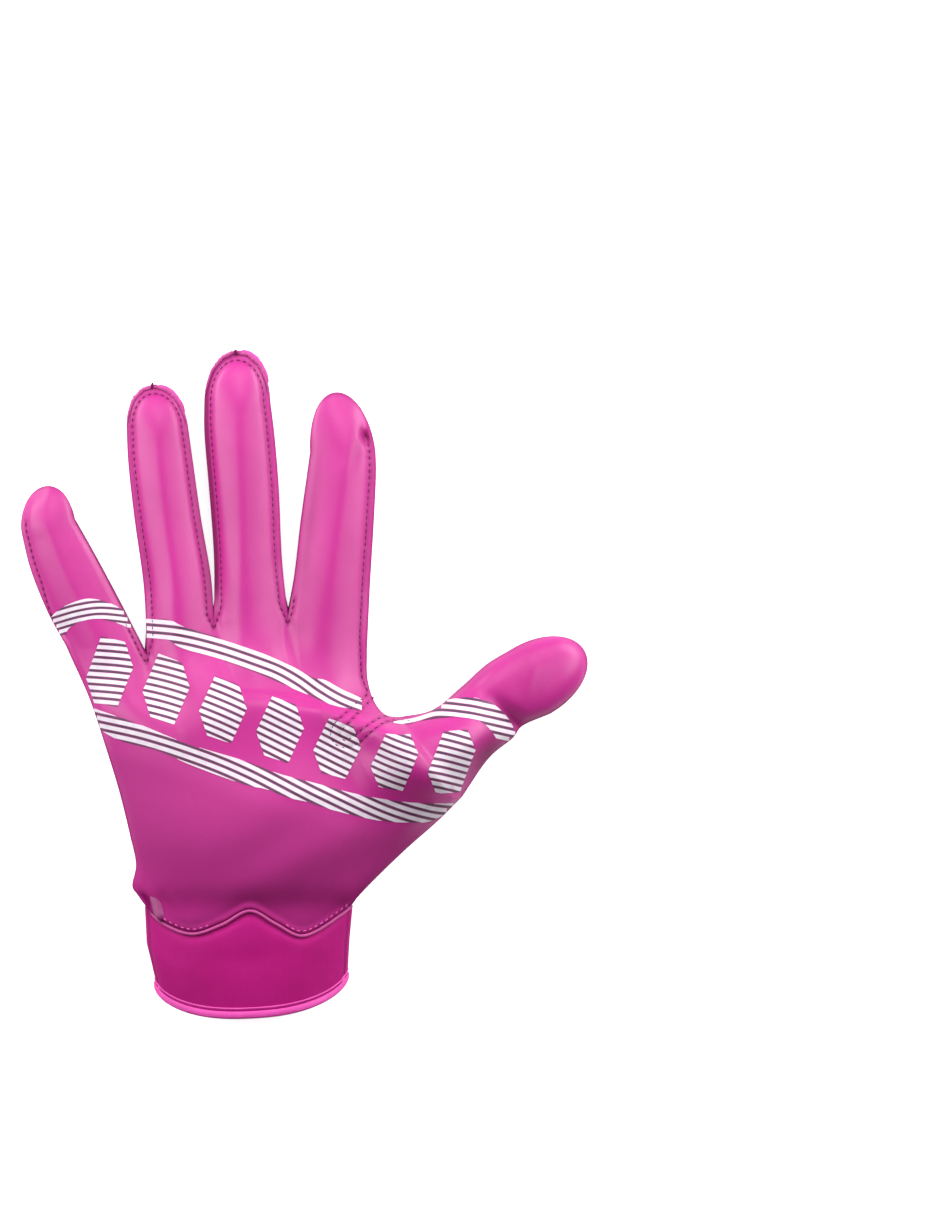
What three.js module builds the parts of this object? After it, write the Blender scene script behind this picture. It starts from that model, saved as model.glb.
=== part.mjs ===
// A right-hand football receiver's glove that lies on its back with the palm up and nothing in it.
// Millimetres, +Z up, fingers towards +Y, thumb towards +X, origin under the middle of the glove's box.
// Every wall is a sheet with a real thickness: a grid of points on its outer face, and the same grid
// moved inwards, joined round the rim.
import * as THREE from "three";
import { mergeVertices } from "three/addons/utils/BufferGeometryUtils.js";

// Walls and clearances
const PALM_WALL = 1.3;
const BACK_WALL = 1.2;
const SIDE_WALL = 1.1;
const CUFF_WALL = 2.2;
const SEAM_GAP = 0.32;
const WRIST_GAP = 0.4;
const THUMB_GAP = 0.9;

// How far the back and side walls stand in from the palm's cut edge: under the sewn flange of a
// finger, and along the palm, where the seam is turned in
const FLANGE = 2.3;
const TURNED_SEAM = 0.9;

// Heights of the seam and of the arch above it
const PALM_SEAM = 12;
const PALM_ARCH = 15;
const HEEL_ARCH = 17;
const WRIST_SEAM = 15;
const WRIST_ARCH = 14.5;
const THUMB_ROOT_ARCH = 19;
const WEB_LIP = 3.2;

// The soft groove along the middle of each finger's front, and its width as a share of half the finger
const GROOVE = { depth: 0.9, width: 0.26 };

// Dents in the fronts: the crease under the index finger, the hollow at the little finger's side of the
// wrist, the one beside the ball of the thumb, and the fold where the thumb leaves that ball
const DENTS = [
  { x: 13, y: 9, depth: 2.2, long: 9, wide: 5, turn: 0.5 },
  { x: -48, y: -70, depth: 2.4, long: 9, wide: 5, turn: 0.4 },
  { x: 22, y: -21, depth: 2.6, long: 12, wide: 7, turn: -0.5 },
  { x: 70, y: -13, depth: 3, long: 10, wide: 4, turn: 2.4 },
];

// The cuff, with its binding standing a little proud of it and hanging clear below it
const CUFF_FLOOR = 2.6;
const BINDING = { length: 3, wall: 3, proud: 0.3, clear: 0.92 };
const PIPING_RADIUS = 0.8;
const PIPING_CLEAR = 0.45;

// The strap under the wrist
const STRAP = { left: -47, right: 10, top: -83, bottom: -105, thickness: 2.2, corner: 6 };

// Mesh counts: columns of quads over a finger, rows up the palm, rows up a finger and round its tip
const COLUMNS = 6;
const PALM_ROWS = { heel: 6, thumb: COLUMNS, knuckle: 3 };
const FINGER_ROWS = 6;
const TIP_ROWS = 4;
const CUFF_COLUMNS = 16;
const CUFF_ROWS = 4;

// Each finger by the ends of its cross rows, from the crotch to where the tip starts to round, then
// the tip itself. seam and arch are heights at the root, and at the tip.
const FINGERS = [
  {
    name: "little",
    rows: [
      { leftX: -85.1, leftY: 14.0, rightX: -56.0, rightY: 10.8 },
      { leftX: -91.4, leftY: 25.3, rightX: -69.1, rightY: 35.9 },
      { leftX: -98.1, leftY: 41.8, rightX: -77.6, rightY: 51.5 },
      { leftX: -101.5, leftY: 55.6, rightX: -82.4, rightY: 59.8 },
    ],
    tip: [-93.2, 71.6],
    seam: [11, 7.5],
    arch: [5, 3.4],
  },
  {
    name: "ring",
    rows: [
      { leftX: -56.0, leftY: 10.8, rightX: -31.9, rightY: 23.0 },
      { leftX: -57.1, leftY: 34.9, rightX: -32.9, rightY: 38.5 },
      { leftX: -60.5, leftY: 59.4, rightX: -36.5, rightY: 59.4 },
      { leftX: -62.9, leftY: 81.0, rightX: -39.6, rightY: 81.0 },
      { leftX: -63.4, leftY: 92.4, rightX: -41.2, rightY: 92.4 },
    ],
    tip: [-53.6, 108.1],
    seam: [11.5, 7.5],
    arch: [5.5, 3.6],
  },
  {
    name: "middle",
    rows: [
      { leftX: -31.9, leftY: 23.0, rightX: -5.2, rightY: 24.8 },
      { leftX: -31.9, leftY: 45.0, rightX: -7.4, rightY: 45.0 },
      { leftX: -33.7, leftY: 70.2, rightX: -8.5, rightY: 70.2 },
      { leftX: -35.5, leftY: 91.8, rightX: -10.3, rightY: 91.8 },
      { leftX: -35.5, leftY: 102.6, rightX: -11.7, rightY: 102.6 },
    ],
    tip: [-23.6, 120.6],
    seam: [11.5, 7.5],
    arch: [5.5, 3.6],
  },
  {
    name: "index",
    rows: [
      { leftX: -5.2, leftY: 24.8, rightX: 23.2, rightY: 12.6 },
      { leftX: -3.1, leftY: 37.8, rightX: 24.3, rightY: 36.0 },
      { leftX: -0.5, leftY: 59.4, rightX: 25.7, rightY: 59.4 },
      { leftX: 2.0, leftY: 77.4, rightX: 26.5, rightY: 77.4 },
      { leftX: 2.9, leftY: 83.9, rightX: 26.3, rightY: 83.9 },
    ],
    tip: [12.4, 105.5],
    seam: [11.5, 7.5],
    arch: [5.5, 3.6],
  },
];

// The thumb in the same form, its left ends on the index finger's side
const THUMB = {
  name: "thumb",
  rows: [
    { leftX: 35.1, leftY: -11.5, rightX: 57.4, rightY: -40.3 },
    { leftX: 46.6, leftY: -9.0, rightX: 67.5, rightY: -25.9 },
    { leftX: 57.4, leftY: -0.4, rightX: 76.1, rightY: -18.7 },
    { leftX: 66.4, leftY: 7.6, rightX: 78.7, rightY: -15.1 },
    { leftX: 76.5, leftY: 13.7, rightX: 89.1, rightY: -10.4 },
  ],
  tip: [101.7, 12.2],
  seam: [PALM_SEAM, 8.5],
  arch: [THUMB_ROOT_ARCH, 7],
};

// Plan curves of the palm's own edges, from the wrist upwards
const ULNAR_EDGE = [
  [-61.0, -73.1],
  [-59.9, -64.8],
  [-62.1, -54.0],
  [-66.1, -37.8],
  [-71.1, -21.6],
  [-76.5, -5.4],
  [-83.7, 10.8],
  [-85.1, 14.0],
];
const HEEL_EDGE = [
  [24.3, -71.6],
  [36.9, -59.4],
  [49.1, -48.6],
  [57.4, -40.3],
];
const KNUCKLE_EDGE = [
  [35.1, -11.5],
  [30.1, -10.8],
  [26.2, -6.5],
  [23.5, 1.8],
  [23.2, 12.6],
];

// The wavy seam between palm and cuff, and the straight one on the back
const WAVE = [
  [-56.6, -78.1],
  [-52.0, -84.0],
  [-39.8, -89.2],
  [-29.0, -86.0],
  [-18.5, -80.9],
  [-9.2, -85.6],
  [0.2, -89.9],
  [14.4, -82.2],
  [18.0, -79.2],
];

// The cuff by its stations: seam, middle and hem. The hem hangs lower in its middle than at its sides.
const CUFF_STATIONS = [
  { left: -56.6, right: 18.0 },
  { left: -56.0, right: 17.0 },
  { left: -53.0, right: 16.4 },
];
const HEM_SIDE = -103.4;
const HEM_FRONT_DROP = 12.2;
const HEM_BACK_DROP = 4;
const HEM_TILT = 1.6;
const BACK_SEAM = -80.5;

const MAGENTA = { leather: 0xcf3f98, knit: 0xb82d84, cuff: 0xb4208a, binding: 0xc43a90, strap: 0x8d1c66 };

const lerp = (a, b, k) => a + (b - a) * k;
const mix = (p, q, k) => [lerp(p[0], q[0], k), lerp(p[1], q[1], k)];
const smooth = (low, high, x) => THREE.MathUtils.smoothstep(x, low, high);

// A smooth plan curve through points: at(k) runs evenly along its length, from(k) evenly by its points
function planCurve(points) {
  const curve = new THREE.CatmullRomCurve3(
    points.map(([x, y]) => new THREE.Vector3(x, y, 0)),
    false,
    "centripetal",
  );
  const flat = (v) => [v.x, v.y];
  return {
    at: (k) => flat(curve.getPointAt(THREE.MathUtils.clamp(k, 0, 1))),
    from: (k) => flat(curve.getPoint(THREE.MathUtils.clamp(k, 0, 1))),
  };
}

// The rise of a soft front: 1 along its middle, falling to 0 at its edge like a flattened ellipse
function archAt(across) {
  const edge = Math.min(Math.abs(across), 1);
  return Math.pow(1 - Math.pow(edge, 2.4), 0.6);
}

// The rise of a side wall: 0 over the flat back, then a quarter round up to 1 at the edge
const LIP_START = 0.74;
function lipAt(across) {
  const x = THREE.MathUtils.clamp((Math.abs(across) - LIP_START) / (1 - LIP_START), 0, 1);
  return 1 - Math.sqrt(1 - x * x);
}

// A finger's outline drawn in by inset. point(across, v, q) gives plan points: across runs from -1 to 1,
// v up the shaft, and q from 0 to 1 round the tip, by the mapping of a square onto a half disc.
// The root row's ends are given, because neighbours share them.
function fingerPlan(finger, inset, root) {
  const lefts = [root.left];
  const rights = [root.right];
  for (const row of finger.rows.slice(1)) {
    const left = [row.leftX, row.leftY];
    const right = [row.rightX, row.rightY];
    const width = Math.hypot(right[0] - left[0], right[1] - left[1]);
    lefts.push(mix(left, right, inset / width));
    rights.push(mix(right, left, inset / width));
  }
  const leftEdge = planCurve(lefts);
  const rightEdge = planCurve(rights);
  const endLeft = lefts.at(-1);
  const endRight = rights.at(-1);
  const centre = mix(endLeft, endRight, 0.5);
  const half = [(endRight[0] - endLeft[0]) / 2, (endRight[1] - endLeft[1]) / 2];
  const reach = Math.hypot(finger.tip[0] - centre[0], finger.tip[1] - centre[1]);
  const tip = mix(finger.tip, centre, inset / reach);
  return (across, v, q) => {
    if (q <= 0) return mix(leftEdge.from(v), rightEdge.from(v), (across + 1) / 2);
    const side = across * Math.sqrt(1 - (q * q) / 2);
    const ahead = q * Math.sqrt(1 - (across * across) / 2);
    return [
      centre[0] + half[0] * side + (tip[0] - centre[0]) * ahead,
      centre[1] + half[1] * side + (tip[1] - centre[1]) * ahead,
    ];
  };
}

// Distance from a finger's middle line to its edge, 0 to 1, also round the tip
function edgeMeasure(across, q) {
  const side = across * Math.sqrt(1 - (q * q) / 2);
  const ahead = q * Math.sqrt(1 - (across * across) / 2);
  return Math.min(1, Math.hypot(side, ahead));
}

// A finger's height terms at v up the shaft: the last quarter of the fall is round the tip
function fingerLevel([root, tip], v, q) {
  return lerp(root, tip, 0.7 * v + 0.3 * q);
}

// Ends of a finger's root row, drawn in by inset: inner ends are crotches, and move down the palm
function rootEnds(index, inset) {
  const row = FINGERS[index].rows[0];
  const left = [row.leftX, row.leftY];
  const right = [row.rightX, row.rightY];
  const last = FINGERS.length - 1;
  return {
    left: index === 0 ? [left[0] + inset, left[1]] : [left[0], left[1] - inset],
    right: index === last ? [right[0] - inset, right[1]] : [right[0], right[1] - inset],
  };
}

function thumbRoot(inset) {
  const row = THUMB.rows[0];
  const left = [row.leftX, row.leftY];
  const right = [row.rightX, row.rightY];
  const width = Math.hypot(right[0] - left[0], right[1] - left[1]);
  return { left: mix(left, right, inset / width), right: mix(right, left, inset / width) };
}

const ROWS_IN_PALM = PALM_ROWS.heel + PALM_ROWS.thumb + PALM_ROWS.knuckle;
const THUMB_START = PALM_ROWS.heel / ROWS_IN_PALM;
const THUMB_END = (PALM_ROWS.heel + PALM_ROWS.thumb) / ROWS_IN_PALM;

// Where a palm height up falls across the thumb's root: -1 at the index side, 1 at the heel side
const acrossThumb = (up) => 1 - (2 * (up - THUMB_START)) / (THUMB_END - THUMB_START);

// The palm's plan: a surface patch between its four edges, across and up from 0 to 1
function palmPlan(inset, bottomEdge) {
  const root = thumbRoot(inset);
  const roots = FINGERS.map((finger, index) => rootEnds(index, inset));
  const shift = ([x, y], dx) => [x + dx, y];
  const inwards = (points, dx) => points.slice(0, -1).map((p) => shift(p, dx));
  const ulnar = planCurve([bottomEdge(0), ...inwards(ULNAR_EDGE, inset), roots[0].left]);
  const heel = planCurve([bottomEdge(1), ...inwards(HEEL_EDGE, -inset), root.right]);
  const knuckle = planCurve([root.left, ...inwards(KNUCKLE_EDGE, -inset).slice(1), roots.at(-1).right]);
  const leftAt = (up) => ulnar.at(up);
  const rightAt = (up) => {
    if (up <= THUMB_START) return heel.at(up / THUMB_START);
    if (up < THUMB_END) return mix(root.right, root.left, (up - THUMB_START) / (THUMB_END - THUMB_START));
    return knuckle.at((up - THUMB_END) / (1 - THUMB_END));
  };
  const topAt = (across) => {
    const place = Math.min(across * FINGERS.length, FINGERS.length - 1e-9);
    const index = Math.floor(place);
    return mix(roots[index].left, roots[index].right, place - index);
  };
  const corners = { ll: bottomEdge(0), lr: bottomEdge(1), ul: topAt(0), ur: topAt(1) };
  return (across, up) => {
    const left = leftAt(up);
    const right = rightAt(up);
    const bottom = bottomEdge(across);
    const top = topAt(across);
    return [0, 1].map(
      (axis) =>
        lerp(left[axis], right[axis], across) +
        lerp(bottom[axis], top[axis], up) -
        lerp(
          lerp(corners.ll[axis], corners.lr[axis], across),
          lerp(corners.ul[axis], corners.ur[axis], across),
          up,
        ),
    );
  };
}

// Height of the seam round the palm's sides, from the wrist up to the finger roots
const palmSeam = (up) => lerp(lerp(WRIST_SEAM, PALM_SEAM, smooth(0, 0.25, up)), FINGERS[0].seam[0], smooth(0.7, 1, up));

// The ball of the thumb: a hill that dies out over the palm, and at the palm's very edge has the arch of
// the thumb's root
const BALL_SPREAD = 0.9;
function thumbRise(wide, up) {
  const across = acrossThumb(up);
  const hill = Math.exp(-BALL_SPREAD * Math.abs(across) ** 3);
  return THUMB_ROOT_ARCH * smooth(0.3, 1, wide) * lerp(hill, archAt(across), smooth(0.85, 1, wide));
}

// A finger front's height: a flat flange outside the stitches, an arch inside them, and the groove
const STITCH_LINE = 0.8;
function fingerFrontHeight(finger, across, v, q) {
  const edge = edgeMeasure(across, q);
  const groove = GROOVE.depth * Math.exp(-((across / GROOVE.width) ** 2)) * smooth(0, 0.15, v) * (1 - q);
  return fingerLevel(finger.seam, v, q) + fingerLevel(finger.arch, v, q) * archAt(edge / STITCH_LINE) - groove;
}

// How deep the dents are at a plan point: each is a long soft hollow, turned in the plan
function dentAt([x, y]) {
  let deep = 0;
  for (const dent of DENTS) {
    const [dx, dy] = [x - dent.x, y - dent.y];
    const along = (dx * Math.cos(dent.turn) + dy * Math.sin(dent.turn)) / dent.long;
    const aside = (dy * Math.cos(dent.turn) - dx * Math.sin(dent.turn)) / dent.wide;
    deep += dent.depth * Math.exp(-along * along - aside * aside);
  }
  return deep;
}

function thumbFrontHeight(across, v, q) {
  return (
    fingerLevel(THUMB.seam, v, q) +
    lerp(THUMB_ROOT_ARCH, lerp(THUMB.arch[1] + 3, THUMB.arch[1], v), smooth(0, 0.6, v)) *
      archAt(edgeMeasure(across, q))
  );
}

// The palm front's height: the arch of the hand, swelled into the ball of the thumb, dipping at the heel
// to the cuff, and passing into the finger arches at the top
function palmFrontHeight(across, up) {
  const wide = 2 * across - 1;
  const crown = lerp(lerp(WRIST_ARCH, HEEL_ARCH, smooth(0, 0.16, up)), PALM_ARCH, smooth(0.3, 0.7, up));
  const hand = palmSeam(up) + crown * archAt(wide) + thumbRise(wide, up);
  const place = Math.min(across * FINGERS.length, FINGERS.length - 1e-9);
  const index = Math.floor(place);
  const fingers = fingerFrontHeight(FINGERS[index], 2 * (place - index) - 1, 0, 0);
  return lerp(hand, fingers, smooth(0.72, 1, up));
}

// Sheets

// Adds a grid of points and its quads to a sheet. Corner points that are given in shared are used again.
function addGrid(sheet, rows, columns, pointAt, shared = () => -1) {
  const index = [];
  for (let i = 0; i <= rows; i += 1) {
    index.push([]);
    for (let j = 0; j <= columns; j += 1) {
      const known = shared(i, j);
      if (known >= 0) {
        index[i].push(known);
      } else {
        index[i].push(sheet.points.length);
        sheet.points.push(pointAt(i, j));
      }
    }
  }
  for (let i = 0; i < rows; i += 1) {
    for (let j = 0; j < columns; j += 1) {
      const [a, b] = [index[i][j], index[i][j + 1]];
      const [c, d] = [index[i + 1][j + 1], index[i + 1][j]];
      sheet.faces.push([a, b, c], [a, c, d]);
    }
  }
  return index;
}

// Unit normals of a sheet's points, from the areas of the faces round them
function sheetNormals(sheet) {
  const normals = sheet.points.map(() => new THREE.Vector3());
  const corner = (i) => new THREE.Vector3(...sheet.points[i].at);
  for (const [a, b, c] of sheet.faces) {
    const face = corner(b).sub(corner(a)).cross(corner(c).sub(corner(a)));
    for (const i of [a, b, c]) normals[i].add(face);
  }
  return normals.map((n) => n.normalize());
}

// Gives a sheet its wall. Inner points lie a wall's thickness inwards: along the normal, or on the rim
// straight down under a flange ("down"), level ("level") or straight up ("up").
function thicken(sheet, wall) {
  const normals = sheetNormals(sheet);
  const count = sheet.points.length;
  const positions = sheet.points.flatMap((p) => p.at);
  sheet.points.forEach((p, i) => {
    const inward = normals[i].clone().negate();
    if (p.rim === "down") inward.set(0, 0, -1);
    if (p.rim === "up") inward.set(0, 0, 1);
    if (p.rim === "level") inward.setZ(0).normalize();
    positions.push(...new THREE.Vector3(...p.at).addScaledVector(inward, wall).toArray());
  });
  const index = [];
  const edges = new Map();
  for (const [a, b, c] of sheet.faces) {
    index.push(a, b, c, a + count, c + count, b + count);
    for (const [p, q] of [[a, b], [b, c], [c, a]]) {
      if (!edges.delete(`${q} ${p}`)) edges.set(`${p} ${q}`, [p, q]);
    }
  }
  for (const [p, q] of edges.values()) index.push(q, p, p + count, q, p + count, q + count);
  const geometry = new THREE.BufferGeometry();
  geometry.setAttribute("position", new THREE.Float32BufferAttribute(positions, 3));
  geometry.setIndex(index);
  return geometry;
}

// Turns a sheet over, so that its outer face looks the other way
function turnOver(sheet) {
  sheet.faces = sheet.faces.map(([a, b, c]) => [a, c, b]);
  return sheet;
}

function makeMesh(name, geometry, color, roughness) {
  geometry.computeVertexNormals();
  const mesh = new THREE.Mesh(geometry, new THREE.MeshStandardMaterial({ color, roughness, metalness: 0 }));
  mesh.name = name;
  return mesh;
}

// Column places over one finger: close together near its edges
const FRONT_COLUMNS = [-1, -STITCH_LINE, -0.42, 0, 0.42, STITCH_LINE, 1];
const BACK_COLUMNS = [-1, -0.95, -LIP_START, 0, LIP_START, 0.95, 1];

// A hand-shaped sheet: the palm patch, four fingers on its top row and, if wanted, the thumb on its side
function handSheet(places, palmPoint, fingerPoint, thumbPoint) {
  const sheet = { points: [], faces: [] };
  const width = COLUMNS * FINGERS.length;
  const acrossAt = (j) => {
    const index = Math.min(Math.floor(j / COLUMNS), FINGERS.length - 1);
    return (index + (places[j - index * COLUMNS] + 1) / 2) / FINGERS.length;
  };
  const palm = addGrid(sheet, ROWS_IN_PALM, width, (i, j) => palmPoint(acrossAt(j), i / ROWS_IN_PALM));
  const rows = FINGER_ROWS + TIP_ROWS;
  const climb = (i) => [Math.min(i / FINGER_ROWS, 1), Math.max(0, (i - FINGER_ROWS) / TIP_ROWS)];
  FINGERS.forEach((finger, index) => {
    addGrid(
      sheet,
      rows,
      COLUMNS,
      (i, j) => fingerPoint(index, places[j], ...climb(i)),
      (i, j) => (i === 0 ? palm[ROWS_IN_PALM][index * COLUMNS + j] : -1),
    );
  });
  if (thumbPoint) {
    const top = PALM_ROWS.heel + COLUMNS;
    addGrid(
      sheet,
      rows,
      COLUMNS,
      (i, j) => thumbPoint(places[j], ...climb(i)),
      (i, j) => (i === 0 ? palm[top - j][width] : -1),
    );
  }
  return sheet;
}

// Pieces

const wave = planCurve(WAVE);

// The wavy seam's y over the wrist's width, across from 0 to 1, found by halving along the curve
function waveHeight(across) {
  const x = lerp(WAVE[0][0], WAVE.at(-1)[0], across);
  let [low, high] = [0, 1];
  for (let step = 0; step < 24; step += 1) {
    const middle = (low + high) / 2;
    if (wave.at(middle)[0] < x) low = middle;
    else high = middle;
  }
  return wave.at(low)[1];
}

// A point beside the wavy seam: side 1 is the palm's edge and -1 the cuff's, clear of the piping
function besideWave(across, side) {
  const step = 0.01;
  const [before, after] = [Math.max(0, across - step), Math.min(1, across + step)];
  const width = (WAVE.at(-1)[0] - WAVE[0][0]) * (after - before);
  const slope = (waveHeight(after) - waveHeight(before)) / width;
  const clear = Math.min((PIPING_RADIUS + SEAM_GAP) * Math.hypot(1, slope), 2) + PIPING_CLEAR;
  return [lerp(WAVE[0][0], WAVE.at(-1)[0], across), waveHeight(across) + side * clear];
}

function palmPanel() {
  const plan = palmPlan(0, (across) => besideWave(across, 1));
  const fingerPlans = FINGERS.map((finger, index) => fingerPlan(finger, 0, rootEnds(index, 0)));
  const thumbPlan = fingerPlan(THUMB, 0, thumbRoot(0));
  const sheet = handSheet(
    FRONT_COLUMNS,
    (across, up) => {
      const side = across === 0 || (across === 1 && (up <= THUMB_START || up >= THUMB_END));
      const flange = up === 1;
      const place = plan(across, up);
      const inside = smooth(0, 0.12, across) * (1 - smooth(0.88, 1, across));
      return {
        at: [...place, palmFrontHeight(across, up) - inside * dentAt(place)],
        rim: flange ? "down" : side && up > 0 ? "level" : null,
      };
    },
    (index, across, v, q) => ({
      at: [...fingerPlans[index](across, v, q), fingerFrontHeight(FINGERS[index], across, v, q)],
      rim: Math.abs(across) === 1 || q === 1 ? "down" : null,
    }),
    (across, v, q) => {
      const place = thumbPlan(across, v, q);
      const inside = 1 - smooth(0.5, 1, edgeMeasure(across, q));
      return {
        at: [...place, thumbFrontHeight(across, v, q) - inside * dentAt(place)],
        rim: Math.abs(across) === 1 || q === 1 ? "level" : null,
      };
    },
  );
  return makeMesh("palm_panel", thicken(sheet, PALM_WALL), MAGENTA.leather, 0.42);
}

// Height of a finger back's rim: low beside a neighbour, where a side wall stands on it, and up to the
// flange on the outer sides and round the tip
function backRim(index, across, v, q) {
  const finger = FINGERS[index];
  const underFlange = fingerLevel(finger.seam, v, q) - PALM_WALL - SEAM_GAP;
  const outer = (index === 0 && across < 0) || (index === FINGERS.length - 1 && across > 0);
  return outer ? underFlange : lerp(WEB_LIP, underFlange, smooth(0.1, 0.9, q));
}

function palmRim(across, up) {
  const wide = Math.abs(2 * across - 1);
  if (up >= 1) return FINGERS[0].seam[0] - PALM_WALL - SEAM_GAP;
  return palmSeam(up) - SEAM_GAP - 0.15 * wide - PALM_WALL * smooth(0.72, 0.93, up);
}

function palmBackHeight(across, up) {
  const place = Math.min(across * FINGERS.length, FINGERS.length - 1e-9);
  const index = Math.floor(place);
  const local = 2 * (place - index) - 1;
  const outerLeft = index === 0 && local < 0;
  const outerRight = index === FINGERS.length - 1 && local > 0;
  if (outerLeft) return palmRim(across, up) * lipAt(local);
  if (outerRight) {
    const inThumb = up > THUMB_START && up < THUMB_END;
    const open = inThumb ? lipAt(acrossThumb(up)) : 1;
    return palmRim(across, up) * lipAt(local) * open;
  }
  return WEB_LIP * lipAt(local) * smooth(0.86, 1, up);
}

const insetAlongPalm = (up) => lerp(TURNED_SEAM, FLANGE, smooth(0.75, 1, up));

function backPanel() {
  const [left, right] = [CUFF_STATIONS[0].left + TURNED_SEAM, CUFF_STATIONS[0].right - TURNED_SEAM];
  const bottom = (across) => [lerp(left, right, across), BACK_SEAM + WRIST_GAP];
  const plan = (across, up) => palmPlan(insetAlongPalm(up), bottom)(across, up);
  const plans = FINGERS.map((finger, index) => fingerPlan(finger, FLANGE, rootEnds(index, FLANGE)));
  const sheet = handSheet(
    BACK_COLUMNS,
    (across, up) => {
      const side = across === 0 || (across === 1 && (up <= THUMB_START || up >= THUMB_END));
      return {
        at: [...plan(across, up), palmBackHeight(across, up)],
        rim: side || up === 1 && palmBackHeight(across, up) > 1 ? "level" : null,
      };
    },
    (index, across, v, q) => ({
      at: [...plans[index](across, v, q), backRim(index, across, v, q) * lipAt(edgeMeasure(across, q))],
      rim: Math.abs(across) === 1 || q === 1 ? "level" : null,
    }),
  );
  return makeMesh("back_panel", thicken(turnOver(sheet), BACK_WALL), MAGENTA.knit, 0.85);
}

function thumbBack() {
  const plan = fingerPlan(THUMB, TURNED_SEAM, thumbRoot(TURNED_SEAM));
  const root = THUMB.rows[0];
  const ahead = new THREE.Vector2(root.leftY - root.rightY, root.rightX - root.leftX).normalize();
  const sheet = { points: [], faces: [] };
  const rows = FINGER_ROWS + TIP_ROWS;
  addGrid(sheet, rows, COLUMNS, (i, j) => {
    const across = BACK_COLUMNS[j];
    const v = Math.min(i / FINGER_ROWS, 1);
    const q = Math.max(0, (i - FINGER_ROWS) / TIP_ROWS);
    const [x, y] = plan(across, v, q);
    const clear = i === 0 ? THUMB_GAP : 0;
    const rim = fingerLevel(THUMB.seam, v, q) - 2 * SEAM_GAP;
    return {
      at: [x + ahead.x * clear, y + ahead.y * clear, rim * lipAt(edgeMeasure(across, q))],
      rim: (Math.abs(across) === 1 || q === 1) ? "level" : null,
    };
  });
  return makeMesh("thumb_back", thicken(turnOver(sheet), BACK_WALL), MAGENTA.knit, 0.85);
}

// A side wall from near one finger's tip, down to the crotch and up the next finger. It stands on the
// back panel's rim and ends under the palm panel's flange.
const SIDE_TOP = 0.1;
const LEAST_SIDE = 0.6;
function sideWall(index) {
  const left = fingerPlan(FINGERS[index], FLANGE, rootEnds(index, FLANGE));
  const right = fingerPlan(FINGERS[index + 1], FLANGE, rootEnds(index + 1, FLANGE));
  const path = [];
  const station = (plan, i, which, across) => {
    const v = Math.min(i / FINGER_ROWS, 1);
    const q = Math.max(0, (i - FINGER_ROWS) / TIP_ROWS);
    path.push({
      at: plan(across, v, q),
      low: backRim(which, across, v, q) + SEAM_GAP,
      high: fingerLevel(FINGERS[which].seam, v, q) - PALM_WALL - SEAM_GAP - SIDE_TOP,
    });
  };
  const last = FINGER_ROWS + 2;
  for (let i = last; i >= 0; i -= 1) station(left, i, index, 1);
  for (let i = 1; i <= last; i += 1) station(right, i, index + 1, -1);
  const sheet = { points: [], faces: [] };
  addGrid(sheet, 2, path.length - 1, (i, j) => {
    const stop = path[j];
    const high = Math.max(stop.high, stop.low + LEAST_SIDE);
    return { at: [...stop.at, lerp(stop.low, high, i / 2)], rim: "level" };
  });
  const name = `side_wall_${FINGERS[index].name}_${FINGERS[index + 1].name}`;
  return makeMesh(name, thicken(sheet, SIDE_WALL), MAGENTA.knit, 0.85);
}

// The cuff's outer face. round runs from -1 at the little finger's side to 1 at the thumb's side, down
// from 0 at the seam to 1 at the hem, and face is 1 for the palm side and -1 for the back.
function cuffPoint(round, down, face) {
  const station = down * (CUFF_STATIONS.length - 1);
  const first = Math.min(Math.floor(station), CUFF_STATIONS.length - 2);
  const [from, to] = [CUFF_STATIONS[first], CUFF_STATIONS[first + 1]];
  const left = lerp(from.left, to.left, station - first);
  const right = lerp(from.right, to.right, station - first);
  const wide = Math.sin((round * Math.PI) / 2);
  const x = lerp(left, right, (wide + 1) / 2);
  const arch = archAt(wide);
  const drop = face > 0 ? HEM_FRONT_DROP : HEM_BACK_DROP;
  const hem = HEM_SIDE - drop * arch + HEM_TILT * wide;
  const seam = face > 0 ? besideWave((wide + 1) / 2, -1)[1] : BACK_SEAM;
  const top = WRIST_SEAM + WRIST_ARCH * arch;
  const flat = Math.sqrt(1 - Math.abs(wide) ** 5);
  const floor = WRIST_SEAM - (WRIST_SEAM - CUFF_FLOOR) * flat;
  return [x, lerp(seam, hem, down), face > 0 ? top : floor];
}

function cuffHalf(name, face) {
  const sheet = { points: [], faces: [] };
  const end = 1 - SEAM_GAP / 12;
  addGrid(sheet, CUFF_ROWS, CUFF_COLUMNS, (i, j) => {
    const round = (2 * j) / CUFF_COLUMNS - 1;
    const [x, y, z] = cuffPoint(round, (end * (CUFF_ROWS - i)) / CUFF_ROWS, face);
    const side = Math.abs(round) === 1;
    return { at: [x, y, z + (side ? (face * SEAM_GAP) / 2 : 0)], rim: side ? "level" : null };
  });
  return makeMesh(name, thicken(face > 0 ? sheet : turnOver(sheet), CUFF_WALL), MAGENTA.cuff, 0.5);
}

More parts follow.
